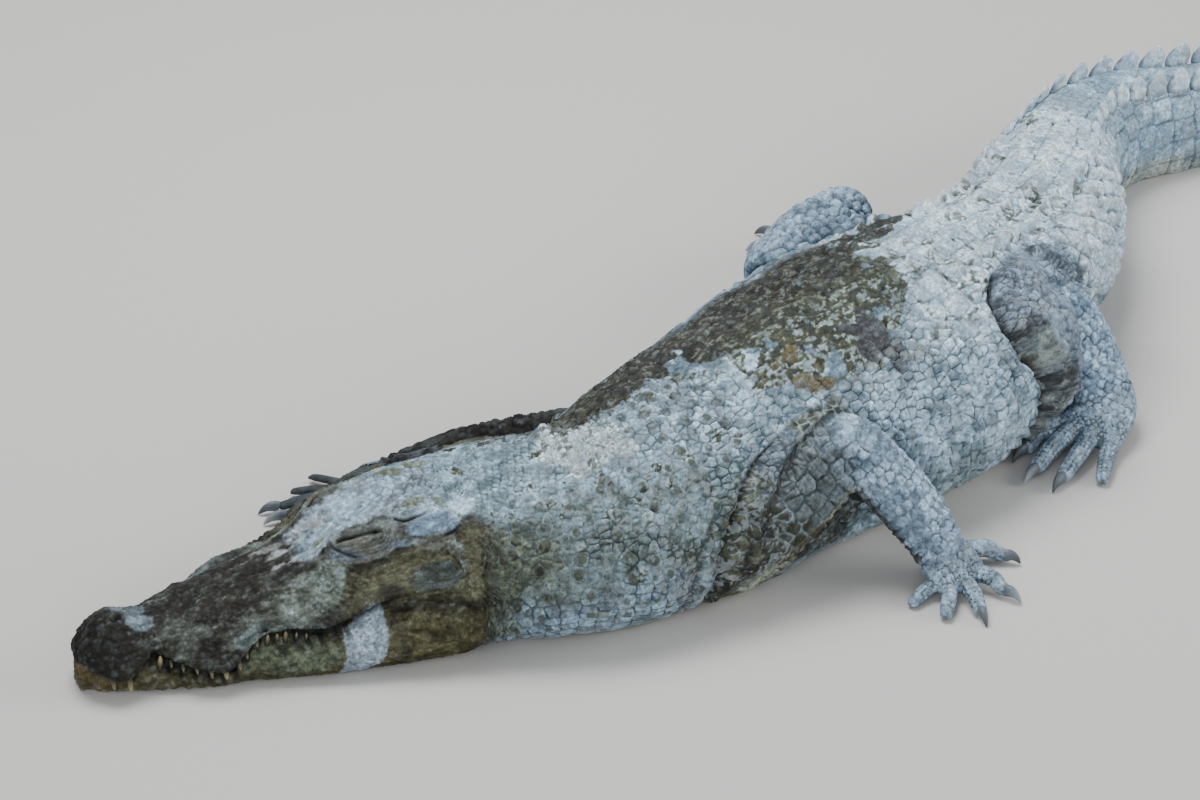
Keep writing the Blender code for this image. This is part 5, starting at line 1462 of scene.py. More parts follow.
def relief(w, nrm, seeds, cell, edge):
    """Height over the skin, and how much of the scale's top colour shows."""
    p = w["p"]
    pitch, high, dome, keel, groove = (seeds[k][cell] for k in ("pitch", "high", "dome", "keel", "groove"))
    half = pitch * .5
    wob = (fbm(p, .012, 71, 2) - .5)
    e = np.maximum(edge + wob * .0012, 0)
    rim = smooth(e / groove)
    d = p - seeds["p"][cell]
    lie = seeds["lie"][cell]
    along = (d * lie).sum(1)
    cross = np.cross(nrm, lie)
    cross /= np.linalg.norm(cross, axis=1)[:, None] + 1e-9
    over = (d * cross).sum(1)
    dm = 1 - np.clip(np.hypot(along, over) / (half * 1.15), 0, 1) ** 2
    kind = seeds["kind"][cell]
    rise = np.clip((along + .40 * pitch) / (.66 * pitch), 0, 1)
    ridge = np.exp(-(np.abs(over) / (.10 * pitch + .0042 * (1 - .35 * rise))) ** 1.5) * rise ** 1.2 * smooth((.46 * pitch - along) / (.16 * pitch))
    lump = np.exp(-(np.abs(over + (wob - 0) * .006) / (.0080 + .0035 * (1 - rise))) ** 2.2) * rise ** 1.15 * smooth((.43 * pitch - along) / (.15 * pitch))
    knob = dm ** 1.5
    base_block = (kind == WHORL) & (w["s"] < 2.03)
    ridge = np.where(kind == SCUTE_BACK, lump, np.where(base_block, dm ** 1.2 * (.45 + .55 * rise), ridge))
    k = np.where((kind == SCUTE_BACK) | (kind == WHORL), ridge, knob)
    # where the strong keels of the back cast shade, just behind and in front of them: the mask for painted shade
    gap = (kind == SCUTE_BACK) * smooth(keel, .004, .010) * smooth((along - .30 * pitch) / (.09 * pitch)) * np.exp(-(over / .014) ** 2)
    gap = np.maximum(gap, (kind == SCUTE_BACK) * smooth(keel, .004, .010) * smooth((-.38 * pitch - along) / (.08 * pitch)) * np.exp(-(over / .015) ** 2))
    # rear edge of each scale stands a little higher than its front
    tilt = np.clip(along / half, -1, 1) * .12
    h = -.0017 * (1 - rim) + rim * (high * (1 + tilt) + dome * dm + keel * k)
    # the head's plates are thin and nearly flush: fine cracks and streaks instead of grooves
    plate = plate_at(w, kind)
    stretch = np.stack([w["s"] * .30, w["left"], w["z"]], 1)
    streak = 1 - np.abs(fbm(stretch, .0085, 75, 3) - .5) * 4
    crackle = 1 - np.abs(fbm(p, .0075, 77, 3) - .5) * 5
    flat = .0012 + .0005 * rim * dome / .0009 - .0007 * (1 - rim) + .0007 * np.clip(streak, 0, 1) - .0007 * np.clip(crackle, 0, 1) ** 2
    h = h * (1 - plate) + flat * plate
    # the moss hides most of the scales' own shape
    mossy = smooth(moss_zone(w["s"], w["arc"]), .3, .7) * (1 - w["limb"])
    h = h * (1 - .62 * mossy) + .0010 * mossy
    # rough crust on the mossy part of the back
    stiff = np.stack([w["s"] * .5, w["arc"], w["z"] * .5], 1)
    h += mossy * ((fbm(stiff, .012, 79, 3) - .45) * .0052 + (fbm(p, .0055, 81, 2) - .5) * .0020)
    # grooves along the blocks of the tail
    flute = (kind == WHORL) * smooth((w["s"] - 1.9) / .2)
    h += rim * flute * .0005 * np.sin(over * 2 * math.pi / .0075)
    rough = fbm(p, .008, 73, 2) - .5
    h += rim * rough * .0011
    tone = smooth(e / (groove * .85))
    tone = tone * (1 - .55 * mossy) + .55 * mossy
    return h, tone, knob, ridge, (gap, along, over)


def coat_colour(w, seeds, cell, tone, knob, ridge, within):
    gap, along, over = within
    top, deep, (n2, n3, n4) = paint(w)
    kind = seeds["kind"][cell]
    r = lattice(cell.astype(np.int64), cell.astype(np.int64) * 3 + 1, cell.astype(np.int64) * 7 + 5, 3)
    r2 = lattice(cell.astype(np.int64), cell.astype(np.int64) * 5 + 2, cell.astype(np.int64) * 11 + 3, 9)
    top = top * (0.78 + .38 * r)[:, None]
    # paler tips of the keels and knobs
    kk = np.where((kind == SCUTE_BACK) | (kind == WHORL), ridge, knob * .5) * smooth(seeds["keel"][cell], .0005, .0035)
    kk = kk * (1 - .92 * smooth(moss_zone(w["s"], w["arc"]), .15, .5))
    top = mix(top, lin(226, 240, 248), kk * .60)
    # dark centred spots of the neck
    on_net = (kind == NET) & (w["limb"] < .5)
    spot = on_net & (r2 < .88)
    size = .0060 + .0032 * r2 + .0030 * (n3 - .5)
    dark = spot * smooth((size - np.hypot(along * 1.12, over * .88)) / .0034 + .3)
    top = mix(top, mix(lin(34, 38, 30), lin(84, 90, 76), smooth(n4 * .6 + n3 * .4, .3, .7)), dark * .85)
    deep = mix(deep, lin(70, 76, 68), dark * .6)
    # painted shade in the gaps round the strong keels of the rump
    strong_keel_shade = smooth(seeds["keel"][cell], .004, .009) * (kind == SCUTE_BACK)
    deep = mix(deep, lin(58, 64, 64), strong_keel_shade * smooth(n2, .25, .5) * .8)
    top = mix(top, lin(36, 41, 41), gap * smooth(n3 * .6 + n2 * .4, .30, .48) * .92)
    block = (kind == WHORL) * (w["s"] < 2.03)
    deep = mix(deep, lin(70, 90, 108), block * .85)
    top = mix(top, lin(206, 222, 232), block * smooth(n3, .3, .6) * .5)
    plate = plate_at(w, kind)
    tone = tone * (1 - plate) + (.76 + .24 * tone) * plate
    soft = .36 * (kind == OVAL)
    tone = tone * (1 - soft) + soft
    col = mix(deep, top, tone)
    # small dark pits and scrapes everywhere on the pale hide
    pit = smooth(n4 * .6 + n3 * .4, .565, .655) * (1 - plate)
    col = mix(col, col * .32, pit * .78)
    flake = smooth(.5 - (n4 * .65 + n3 * .35), .075, .155) * (1 - plate) * (kind != LIMB)
    flake = flake * (1 - .85 * smooth(moss_zone(w["s"], w["arc"]), .2, .6)) * smooth((w["s"] - jaw_reach(w["arc"]) - .02) / .10)
    col = mix(col, lin(214, 228, 236), flake * .36)
    grit = n4 * .6 + n3 * .4
    col = col * (1 + (smooth(grit, .28, .72) * .66 - .36) * (1 - .65 * plate))[:, None]
    # fine streaks that run along the head
    streaks = fbm(np.stack([w["s"] * .33, w["left"], w["z"]], 1), .0050, 145, 3)
    head_tone = .80 + .44 * smooth(streaks, .28, .72)
    col = col * (1 + (head_tone - 1) * plate)[:, None]
    return np.clip(col, 0, 1)


# ---------------------------------------------------------------- materials
def node_material(name, base, rough, rough_spread, bump_scale, bump_height, attribute=True, specular=.22, crack=0.0, flecks=0.0):
    mat = bpy.data.materials.new(name)
    mat.use_nodes = True
    nodes, links = mat.node_tree.nodes, mat.node_tree.links
    shader = nodes["Principled BSDF"]
    shader.inputs["Metallic"].default_value = 0.0
    shader.inputs["Specular IOR Level"].default_value = specular
    coord = nodes.new("ShaderNodeTexCoord")
    grain = nodes.new("ShaderNodeTexNoise")
    grain.inputs["Scale"].default_value = bump_scale
    grain.inputs["Detail"].default_value = 4.0
    grain.inputs["Roughness"].default_value = .6
    links.new(coord.outputs["Object"], grain.inputs["Vector"])
    wide = nodes.new("ShaderNodeTexNoise")
    wide.inputs["Scale"].default_value = bump_scale * .22
    wide.inputs["Detail"].default_value = 3.0
    links.new(coord.outputs["Object"], wide.inputs["Vector"])
    if attribute:
        src = nodes.new("ShaderNodeAttribute")
        src.attribute_name = "Col"
        colour = src.outputs["Color"]
    else:
        rgb = nodes.new("ShaderNodeRGB")
        rgb.outputs[0].default_value = (*base, 1.0)
        colour = rgb.outputs[0]
    ramp = nodes.new("ShaderNodeMapRange")
    ramp.inputs["From Min"].default_value = .3
    ramp.inputs["From Max"].default_value = .7
    ramp.inputs["To Min"].default_value = .80
    ramp.inputs["To Max"].default_value = 1.16
    links.new(grain.outputs["Fac"], ramp.inputs["Value"])
    mul = nodes.new("ShaderNodeMix")
    mul.data_type = "RGBA"
    mul.blend_type = "MULTIPLY"
    mul.inputs["Factor"].default_value = 1.0
    links.new(colour, mul.inputs[6])
    links.new(ramp.outputs["Result"], mul.inputs[7])
    tinted = mul.outputs[2]
    if flecks:
        # fine crust: pale flecks and dark pits smaller than the scales
        for scale, low, high, at_low, at_high in ((bump_scale * .40, .36, .64, 1 - .26 * flecks, 1 + .24 * flecks),
                                                  (bump_scale * .62, .60, .68, 1.0, 1 - .58 * flecks),
                                                  (bump_scale * .50, .40, .33, 1.0, 1 + .34 * flecks)):
            spread = nodes.new("ShaderNodeTexNoise")
            spread.inputs["Scale"].default_value = scale
            spread.inputs["Detail"].default_value = 5.0
            spread.inputs["Roughness"].default_value = .68
            links.new(coord.outputs["Object"], spread.inputs["Vector"])
            gain = nodes.new("ShaderNodeMapRange")
            gain.inputs["From Min"].default_value = min(low, high)
            gain.inputs["From Max"].default_value = max(low, high)
            gain.inputs["To Min"].default_value = at_low if low < high else at_high
            gain.inputs["To Max"].default_value = at_high if low < high else at_low
            links.new(spread.outputs["Fac"], gain.inputs["Value"])
            more = nodes.new("ShaderNodeMix")
            more.data_type = "RGBA"
            more.blend_type = "MULTIPLY"
            more.inputs["Factor"].default_value = 1.0
            links.new(tinted, more.inputs[6])
            links.new(gain.outputs["Result"], more.inputs[7])
            tinted = more.outputs[2]
    links.new(tinted, shader.inputs["Base Color"])
    rr = nodes.new("ShaderNodeMapRange")
    rr.inputs["From Min"].default_value = .3
    rr.inputs["From Max"].default_value = .7
    rr.inputs["To Min"].default_value = rough - rough_spread
    rr.inputs["To Max"].default_value = rough + rough_spread
    links.new(wide.outputs["Fac"], rr.inputs["Value"])
    links.new(rr.outputs["Result"], shader.inputs["Roughness"])
    height = grain.outputs["Fac"]
    if crack:
        cell = nodes.new("ShaderNodeTexVoronoi")
        cell.feature = "DISTANCE_TO_EDGE"
        cell.inputs["Scale"].default_value = crack
        links.new(coord.outputs["Object"], cell.inputs["Vector"])
        edge = nodes.new("ShaderNodeMapRange")
        edge.inputs["From Min"].default_value = 0.0
        edge.inputs["From Max"].default_value = .06
        edge.inputs["To Min"].default_value = 0.0
        edge.inputs["To Max"].default_value = .5
        links.new(cell.outputs["Distance"], edge.inputs["Value"])
        add = nodes.new("ShaderNodeMath")
        add.operation = "ADD"
        links.new(grain.outputs["Fac"], add.inputs[0])
        links.new(edge.outputs["Result"], add.inputs[1])
        height = add.outputs[0]
    bumps = nodes.new("ShaderNodeBump")
    bumps.inputs["Strength"].default_value = .55
    bumps.inputs["Distance"].default_value = bump_height
    links.new(height, bumps.inputs["Height"])
    links.new(bumps.outputs["Normal"], shader.inputs["Normal"])
    return mat


COAT_MAT = node_material("scale_keratin", (.5, .5, .5), .66, .12, 420.0, .0009, crack=190.0, flecks=1.15)
SKIN_MAT = node_material("skin_between_scales", (.3, .3, .3), .78, .08, 300.0, .0008)
HORN_MAT = node_material("horn", (.3, .3, .3), .46, .10, 500.0, .0004, specular=.45)
TOOTH_MAT = node_material("tooth", (.3, .3, .3), .34, .10, 600.0, .0002, specular=.5)
EYE_MAT = node_material("eye_ball", (.3, .3, .3), .12, .03, 300.0, .00005, specular=.6)


def put_object(name, verts, faces, colours, mat, uv=None):
    mesh = bpy.data.meshes.new(name)
    faces = np.asarray(faces)
    n, m, k = len(verts), len(faces), faces.shape[1]
    mesh.vertices.add(n)
    mesh.vertices.foreach_set("co", np.asarray(verts, np.float32).ravel())
    mesh.loops.add(m * k)
    mesh.loops.foreach_set("vertex_index", faces.astype(np.int32).ravel())
    mesh.polygons.add(m)
    mesh.polygons.foreach_set("loop_start", np.arange(0, m * k, k, dtype=np.int32))
    mesh.update(calc_edges=True)
    mesh.validate()
    mesh.polygons.foreach_set("use_smooth", np.ones(len(mesh.polygons), bool))
    attr = mesh.color_attributes.new("Col", "FLOAT_COLOR", "POINT")
    attr.data.foreach_set("color", np.concatenate([colours, np.ones((n, 1))], 1).astype(np.float32).ravel())
    if uv is not None:
        layer = mesh.uv_layers.new(name="OFBake")
        layer.data.foreach_set("uv", np.clip(uv, 0, 1).astype(np.float32).ravel())
    mesh.materials.append(mat)
    ob = bpy.data.objects.new(name, mesh)
    bpy.context.scene.collection.objects.link(ob)
    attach(ob, "root")
    return ob


def compact(verts, faces, *fields):
    used = np.zeros(len(verts), bool)
    used[faces.ravel()] = True
    new = np.cumsum(used) - 1
    return (verts[used], new[faces], *(f[used] for f in fields))


def wrap_uv(value, faces, period):
    """Corner values of a coordinate that goes round, kept together within each face."""
    v = value[faces]
    first = v[:, :1]
    return v - period * np.round((v - first) / period)


# ---------------------------------------------------------------- coat
def body_uv(faces, w, s0, s1):
    girth = 2 * np.max(np.abs(w["arc"][faces])) + .01
    a = w["arc"][faces]
    half = .5 * girth
    a = a - girth * np.round((a - a[:, :1]) / girth)
    return np.stack([(w["s"][faces] - s0) / (s1 - s0), (a + half) / girth], -1)


def head_uv(faces, w):
    g = head_girth(w["u"], w["left"], w["z"])
    return np.stack([w["u"][faces] / 1.30, (g / .42)[faces]], -1)


def limb_uv(faces, w, verts, limb):
    tubes = [k for k, t in enumerate(TUBE) if t.limb == limb]
    owner = w["tube"][faces[:, 0]]
    uv = np.zeros((*faces.shape, 2))
    for band, k in enumerate(tubes):
        on = owner == k
        if band == 0:
            on |= ~np.isin(owner, tubes)
        if not on.any():
            continue
        f = faces[on]
        al, an, _ = TUBE[k].coords(verts[f.ravel()])
        al, an = al.reshape(f.shape), an.reshape(f.shape)
        an = an - 2 * math.pi * np.round((an - an[:, :1]) / (2 * math.pi))
        uv[on, :, 0] = np.clip((al + .03) / (TUBE[k].length + .06), 0, 1)
        uv[on, :, 1] = (band + .04 + .92 * np.clip((an + math.pi) / (2 * math.pi), 0, 1)) / len(tubes)
    return uv


def make_coat(pts, quads, w, nrm, seeds, choose):
    """Relief, colour and pieces. choose(seed place) names the piece of each cell."""
    cell, edge = cells(pts, seeds)
    h, tone, knob, ridge, gap = relief(w, nrm, seeds, cell, edge)
    fold = w["fold"]
    lift = np.where(w["s"] > 3.3, np.interp(w["s"], (3.3, 3.9), (1, .35)), 1.0)
    out = pts + nrm * (fold + h * lift)[:, None]
    out[:, 2] = np.maximum(out[:, 2], .0004)
    col = coat_colour(w, seeds, cell, tone, knob, ridge, gap)
    deep_face = np.all(h[quads] < -.0006, axis=1)
    resting = np.all((pts[quads][:, :, 2] < .0052) & (nrm[quads][:, :, 2] < -.90), axis=1)
    keep = ~(deep_face | resting)
    quads = quads[keep]
    names = choose(seeds["p"], seeds)[cell[quads[:, 0]]]
    pieces = []
    for name in sorted(set(names)):
        if name == "":
            continue
        f = quads[names == name]
        ids = np.unique(f)
        new = np.full(len(pts), -1)
        new[ids] = np.arange(len(ids))
        f2 = new[f]
        sub = {k: v[ids] for k, v in w.items()}
        if name.startswith("coat_fore") or name.startswith("coat_hind"):
            uv = limb_uv(f2, sub, pts[ids], name[5:])
        elif name.startswith("coat_head"):
            uv = head_uv(f2, sub)
        else:
            uv = body_uv(f2, sub, float(sub["s"].min()), float(sub["s"].max()))
        pieces.append(put_object(name, out[ids], f2, col[ids], COAT_MAT, uv.reshape(-1, 2)))
        print("piece", name, "triangles", len(f2) * 2)
    return pieces


HEAD_TO = .935


def piece_names(p, seeds):
    w = where_on(p)
    names = np.full(len(p), "coat_trunk_fore", dtype=object)
    s = w["s"]
    names[s < .93] = "coat_neck"
    names[s > 1.42] = "coat_trunk_hind"
    names[s > 1.74] = "coat_rump"
    names[s > 2.02] = "coat_tail_front"
    names[s > 2.90] = "coat_tail_back"
    names[s < HEAD_TO] = ""
    for k, t in enumerate(TUBE):
        names[(w["tube"] == k) & (w["limb"] > .5)] = "coat_" + t.limb
    return names


def head_names(p, seeds):
    w = where_on(p)
    names = np.full(len(p), "", dtype=object)
    ok = (w["s"] < HEAD_TO) & (w["limb"] < .5)
    names[ok & (w["left"] >= 0)] = "coat_neck_left"
    names[ok & (w["left"] < 0)] = "coat_neck_right"
    names[ok & (w["s"] < .585) & (w["left"] >= 0)] = "coat_head_left"
    names[ok & (w["s"] < .585) & (w["left"] < 0)] = "coat_head_right"
    return names


def surface(shells, voxel, rounds):
    pts, quads = remeshed(shells, voxel)
    edges = edges_of(quads)
    pts = relax(pts, edges, .5, 3)
    w = where_on(pts)
    # soften the creases where limbs and head meet the body
    seam = np.minimum(np.abs(w["out"]), 1) < .035
    seam = seam & (w["tube"] >= 0) & (w["tube_out"] < .035) & (w["out"] > -.02)
    kinds = np.array([t.kind in ("upper", "lower") for t in TUBE])[w["tube"]]
    soft = np.where(seam & kinds, .5, 0.0)
    soft = np.maximum(soft, .5 * bump(w["s"], .560, .035))
    joints = (w["tube"] >= 0) & kinds & (w["limb"] > .3)
    soft = np.maximum(soft, .25 * joints)
    soft = np.maximum(soft, .5 * (rump_over(w["s"], w["arc"], w["tube"]) > .2) * (w["s"] < 1.9))
    soft = relax_field(soft, edges, 6)
    pts = relax(pts, edges, soft, rounds)
    # the rear of the jaw passes smoothly into the neck
    near = np.nonzero((w["s"] > .48) & (w["s"] < .70))[0]
    inside = np.zeros(len(pts), bool)
    inside[near] = True
    local = edges[inside[edges[:, 0]] & inside[edges[:, 1]]]
    index = np.full(len(pts), -1)
    index[near] = np.arange(len(near))
    much = .5 * smooth((.090 - np.abs(w["s"][near] - .568)) / .045) * (w["limb"][near] < .2) * smooth((.178 - w["z"][near]) / .03)
    pts[near] = relax(pts[near], index[local], much, int(520 * (.0018 / voxel) ** 2) + 2)
    pts[:, 2] = np.maximum(pts[:, 2], .0015)
    w = where_on(pts)
    nrm = normals_of(pts, quads)
    w["fold"] = folds(w)
    return pts, quads, w, nrm


VOX_BODY, VOX_HEAD, VOX_SKIN = ((.0025, .0018, .0054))
SHELLS = all_shells(True)
pts, quads, w, nrm = surface(SHELLS, VOX_BODY, int(30 * (.0025 / VOX_BODY) ** 2) + 6)
_first = np.argsort(SEEDS["kind"] != NET, kind="stable")
_roots = {k: v[_first] for k, v in SEEDS.items()}
_rw = where_on(_roots["p"])
_over = (_rw["s"] > 1.57) & (_rw["s"] < 1.90) & (_rw["arc"] > .055) & (_rw["arc"] < .27)
_limit = np.where(_over & (_roots["kind"] != LIMB), .036, .0085)
_limit = np.where((_roots["kind"] == LIMB) & (rump_over(_rw["s"], _rw["arc"], _rw["tube"]) > .5), 0.0, _limit)
body_seeds = snap_roots(_roots, pts, _limit)

# head: its own finer surface
ang = (np.arange(96) + 0.5) * 2 * math.pi / 96
_rings = []
for _s in np.arange(.553, 1.06, .008):
    _l, _z = body_section(np.full(96, _s), ang, -SKIN_DEPTH)
    _rings.append(place(np.full(96, _s), _l, _z))
_lips = []
for _side in (1, -1):
    _edge = []
    for _s in np.arange(.212, .2921, .004):
        _at = float(np.interp(_s, (.212, .224, .240, .256, .272, .292), (.0945, .0975, .0990, .1012, .1035, .1060)))
        _up = float(np.interp(_s, (.212, .224, .240, .256, .272, .292), (.0690, .0715, .0748, .0765, .0768, .0762)))
        _fat = math.sin(math.pi * min(1, max(.12, (_s - .208) / .088))) ** .5
        _edge.append(place(np.full(16, _s), _side * (_at + .0072 * _fat * np.cos(np.arange(16) * math.pi / 8)), _up + .0034 * _fat * np.sin(np.arange(16) * math.pi / 8) * _side))
    _lips.append(shell_data(_edge))
_arm = [SHELLS[2 + k] for k, t in enumerate(TUBES) if t[0] == "fore_left_upper" or t[0] == "fore_right_upper"]
hp, hq, hw, hn = surface([SHELLS[1], shell_data(_rings)] + _lips + _arm, VOX_HEAD, int(30 * (.0025 / VOX_HEAD) ** 2))
keep = np.all(hw["s"][hq] < HEAD_TO + .035, axis=1)
hq = hq[keep]
used = np.unique(hq)
new = np.full(len(hp), -1)
new[used] = np.arange(len(used))
hp, hn, hq = hp[used], hn[used], new[hq]
hw = {k: v[used] for k, v in hw.items()}


def head_pitch(w):
    u, al, zh = w["u"], np.abs(w["left"]) / HEAD, w["z"] / HEAD
    lipz = lip(np.clip(u, 0, 1.09))
    g = head_girth(u, w["left"], w["z"])
    r = np.full(len(u), .0100)
    r = np.where((zh < lipz), .0130, r)
    r = np.where((u > .60) & (zh < lipz) & (zh > .06), .0110, r)
    r = np.where((u > .66) & (g < .055), .0150, r)
    r = np.where((u > .50) & (u < .66) & (g < .06), .0115, r)
    r = np.where((u > .66) & (g > .060) & (g < .125), .0062, r)
    r = np.where((u > .80) & (g > .125), .0090, r)
    r = np.where(u > 1.02, .0085, r)
    r = np.where(zh < .03, .0160, r)
    return r


rad = head_pitch(hw)
_sel = (hw["s"] < .60) & (hw["limb"] < .3)
roots = head_roots(hp[_sel], rad[_sel])
rw = where_on(roots)
rr = head_pitch(rw)
x, y, hh = spine(rw["s"])
near_lids = (rw["u"] > .66) & (np.abs(rw["left"]) > .045) & (rr < .007)
rough_top = (rw["u"] < .66)
head_seeds = dict(p=roots, lie=np.stack([np.cos(hh), np.sin(hh), 0 * hh], 1), pitch=rr * 1.05,
                  high=np.where(near_lids, .0009, np.where(rr > .012, .0016, .0014)),
                  dome=np.where(near_lids, .0004, .0009), keel=np.where(rough_top, .0008, .0003) * rng.uniform(0, 1.6, len(rr)),
                  groove=np.where(near_lids, .0010, np.where(rr > .012, .0017, .0015)),
                  kind=np.full(len(rr), HEADSCALE, float))
# the neck's roots carry on over the join
tail_part = body_seeds["p"]
bw = where_on(tail_part)
behind = (bw["s"] > .578) & (bw["s"] < 1.00)
front = rw["s"] < .578
head_all = {k: np.concatenate([head_seeds[k][front], body_seeds[k][behind]]) for k in head_seeds}
body_front = bw["s"] >= .578
body_all = {k: np.concatenate([body_seeds[k][body_front], head_seeds[k][front & (rw["s"] > .50)]]) for k in head_seeds}
COAT = make_coat(hp, hq, hw, hn, head_all, head_names)
cut = np.all(w["s"][quads] > HEAD_TO - .04, axis=1) | np.any(w["limb"][quads] > .4, axis=1)
COAT += make_coat(pts, quads[cut], w, nrm, body_all, piece_names)

# ---------------------------------------------------------------- skin: one piece under all scales
sp, sq, sw, sn = surface(SHELLS, VOX_SKIN, int(30 * (.0025 / VOX_SKIN) ** 2) + 3)
extra = .0006 + .0012 * head_mask(sw)
skin_at = sp + sn * (sw["fold"] - extra)[:, None]
skin_at[:, 2] = np.maximum(skin_at[:, 2], .0008)
top, deep, _ = paint(sw)
skin = put_object("skin", skin_at, sq, np.clip(mix(deep, top, .12), 0, 1), SKIN_MAT)
print("skin triangles", len(sq) * 2)
FLESH = [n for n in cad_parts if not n.startswith(("claw_", "eye_"))]
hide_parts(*FLESH)


# ---------------------------------------------------------------- crest of the tail
def grid_tube(rings, tip):
    """Faces of a tube between its rings, all as quads; its ends are left open."""
    n = len(rings[0])
    verts = list(np.concatenate(rings))
    faces = []
    for i in range(len(rings) - 1):
        for k in range(n):
            faces.append((i * n + k, i * n + (k + 1) % n, (i + 1) * n + (k + 1) % n, (i + 1) * n + k))
    last = (len(rings) - 1) * n
    return np.array(verts), np.array(faces)


def lobe(s, off, tall, long, lean, thick, sink=.006):
    """Leaf shaped scute that leans back. Returns rings from its root to its tip."""
    rings, tone = [], []
    m = 16
    ang = np.arange(m) * 2 * math.pi / m
    base_z = top_at(s, off)
    for h in (-.35, 0.0, .18, .36, .54, .70, .83, .92, .975, 1.0):
        hh_ = max(h, 0)
        w_ = long * .5 * (.86 + .20 * math.sin(math.pi * min(1, hh_ * 1.25))) * math.sqrt(max(1 - hh_ ** 3.6, .0004))
        t_ = thick * (1 - .72 * hh_) * (1 if h < 1 else .3)
        back = lean * hh_ ** 1.5 * tall
        ss = s + back + np.cos(ang) * w_
        oo = off * (1 - .10 * hh_) + np.sin(ang) * t_
        zz = base_z - .5 * sink + hh_ * tall * (1 + .06 * np.cos(ang)) + min(h, 0) * sink * 2
        zz = zz + (-.10) * tall * (1 - hh_) * np.abs(np.cos(ang)) ** 2
        pos = place(np.clip(ss, 0, LENGTH + .02), oo, np.maximum(zz, .001))
        rings.append(pos)
        tone.append(np.stack([np.full(m, hh_), np.cos(ang)], 1))
    return rings, np.concatenate(tone)


def crest_piece(name, items):
    verts, faces, tones, uvs, base = [], [], [], [], 0
    for row, (s, off, tall, long, lean, thick) in enumerate(items):
        rings, tone = lobe(s, off, tall, long, lean, thick)
        v, f = grid_tube(rings, None)
        # a little unevenness
        n_ = fbm(v, .010, 83, 2) - .5
        v = v + np.stack([n_ * .0016, -n_ * .0016, n_ * .001], 1)
        verts.append(v)
        faces.append(f + base)
        tones.append(tone)
        uvs.append(np.tile([[(s - 2.0) / 1.95, .25 + .5 * (off > 0)]], (len(v), 1)) + .0014 * np.stack([tone[:, 1], tone[:, 0] * 2 - 1], 1))
        base += len(v)
    v, f, tone, uv = np.concatenate(verts), np.concatenate(faces), np.concatenate(tones), np.concatenate(uvs)
    n2, n3 = fbm(v, .03, 91, 3), fbm(v, .008, 97, 2)
    c = mix(lin(172, 198, 216), lin(232, 244, 250), smooth(n3 * .6 + n2 * .4, .3, .7))
    front = smooth(-tone[:, 1] - .62 + (n3 - .5) * .7, 0, .4) * .85
    c = mix(c, lin(52, 76, 100), front)
    c = mix(c, lin(88, 112, 132), smooth(n2, .60, .70) * .5)
    c = mix(c, lin(226, 240, 248), smooth(tone[:, 0], .72, .98) * .5)
    c = mix(c, lin(84, 98, 110), smooth(.14 - tone[:, 0], 0, .14) * .6)
    return put_object(name, v, f, c, COAT_MAT, uv[f].reshape(-1, 2))


rows = {"crest_left": [], "crest_right": [], "crest_tail": []}
for k in range(18):
    s = CREST_FROM + (k + .42) * SCUTE
    for side, name in ((1, "crest_left"), (-1, "crest_right")):
        d = min(float(crest_off(s)), float(min(left_width(s), right_width(s))) * .62)
        vary = 1 + .10 * (rng.random() - .5)
        rows[name].append((s, side * d, float(crest_tall(s)) * 1.12 * vary, SCUTE * .96, .12, .0072))
for k in range(18):
    s = CREST_JOIN + (k + .42) * FIN
    rows["crest_tail"].append((s, 0.0, float(crest_tall(s)) * 1.05, FIN * .98, .22, min(.0054, .22 * float(left_width(s)))))
CREST = [crest_piece(name, items) for name, items in rows.items()]


# ---------------------------------------------------------------- claws, teeth, eyes
def horn_piece(name, path, radii, flat, colour_base, colour_tip, mat, sides=14, steps=12):
    path = np.array(path, float)
    seg = np.linspace(0, 1, len(path))
    t = np.linspace(0, 1, steps)
    c = np.stack([curve(np.column_stack([seg, path[:, k]]))(t) for k in range(3)], -1)
    r = curve(np.column_stack([np.linspace(0, 1, len(radii)), radii]))(t)
    tan = np.gradient(c, axis=0)
    tan /= np.linalg.norm(tan, axis=1)[:, None]
    a = np.arange(sides) * 2 * math.pi / sides
    rings, tone = [], []
    for i in range(steps):
        ref = np.array((0, 0, 1.0)) if abs(tan[i][2]) < .9 else np.array((1.0, 0, 0))
        side = np.cross(tan[i], ref)
        side /= np.linalg.norm(side)
        up = np.cross(side, tan[i])
        ring = c[i] + np.outer(np.cos(a) * r[i] * flat, side) + np.outer(np.sin(a) * r[i], up)
        ring[:, 2] = np.maximum(ring[:, 2], .0003)
        rings.append(ring)
        tone.append(np.full(sides, t[i]))
    v, f = grid_tube(rings, None)
    v = np.vstack([v, rings[-1].mean(0)[None], rings[0].mean(0)[None]])
    last = (steps - 1) * sides
    caps = [(last + k, last + (k + 1) % sides, len(v) - 2, len(v) - 2) for k in range(sides)]
    tone = np.concatenate(tone + [[1.0, 0.0]])
    n3 = fbm(v, .004, 103, 2)
    streak = noise(np.stack([np.arctan2(v[:, 1] - v[:, 1].mean(), v[:, 0] - v[:, 0].mean()) * 3, tone * .5, v[:, 2] * 30], 1), 1.0, 5)
    col = mix(colour_base, colour_tip, smooth(tone, .1, .95))
    col = col * (.82 + .36 * (n3 * .6 + streak * .4))[:, None]
    return put_object(name, v, f, np.clip(col, 0, 1), mat), caps


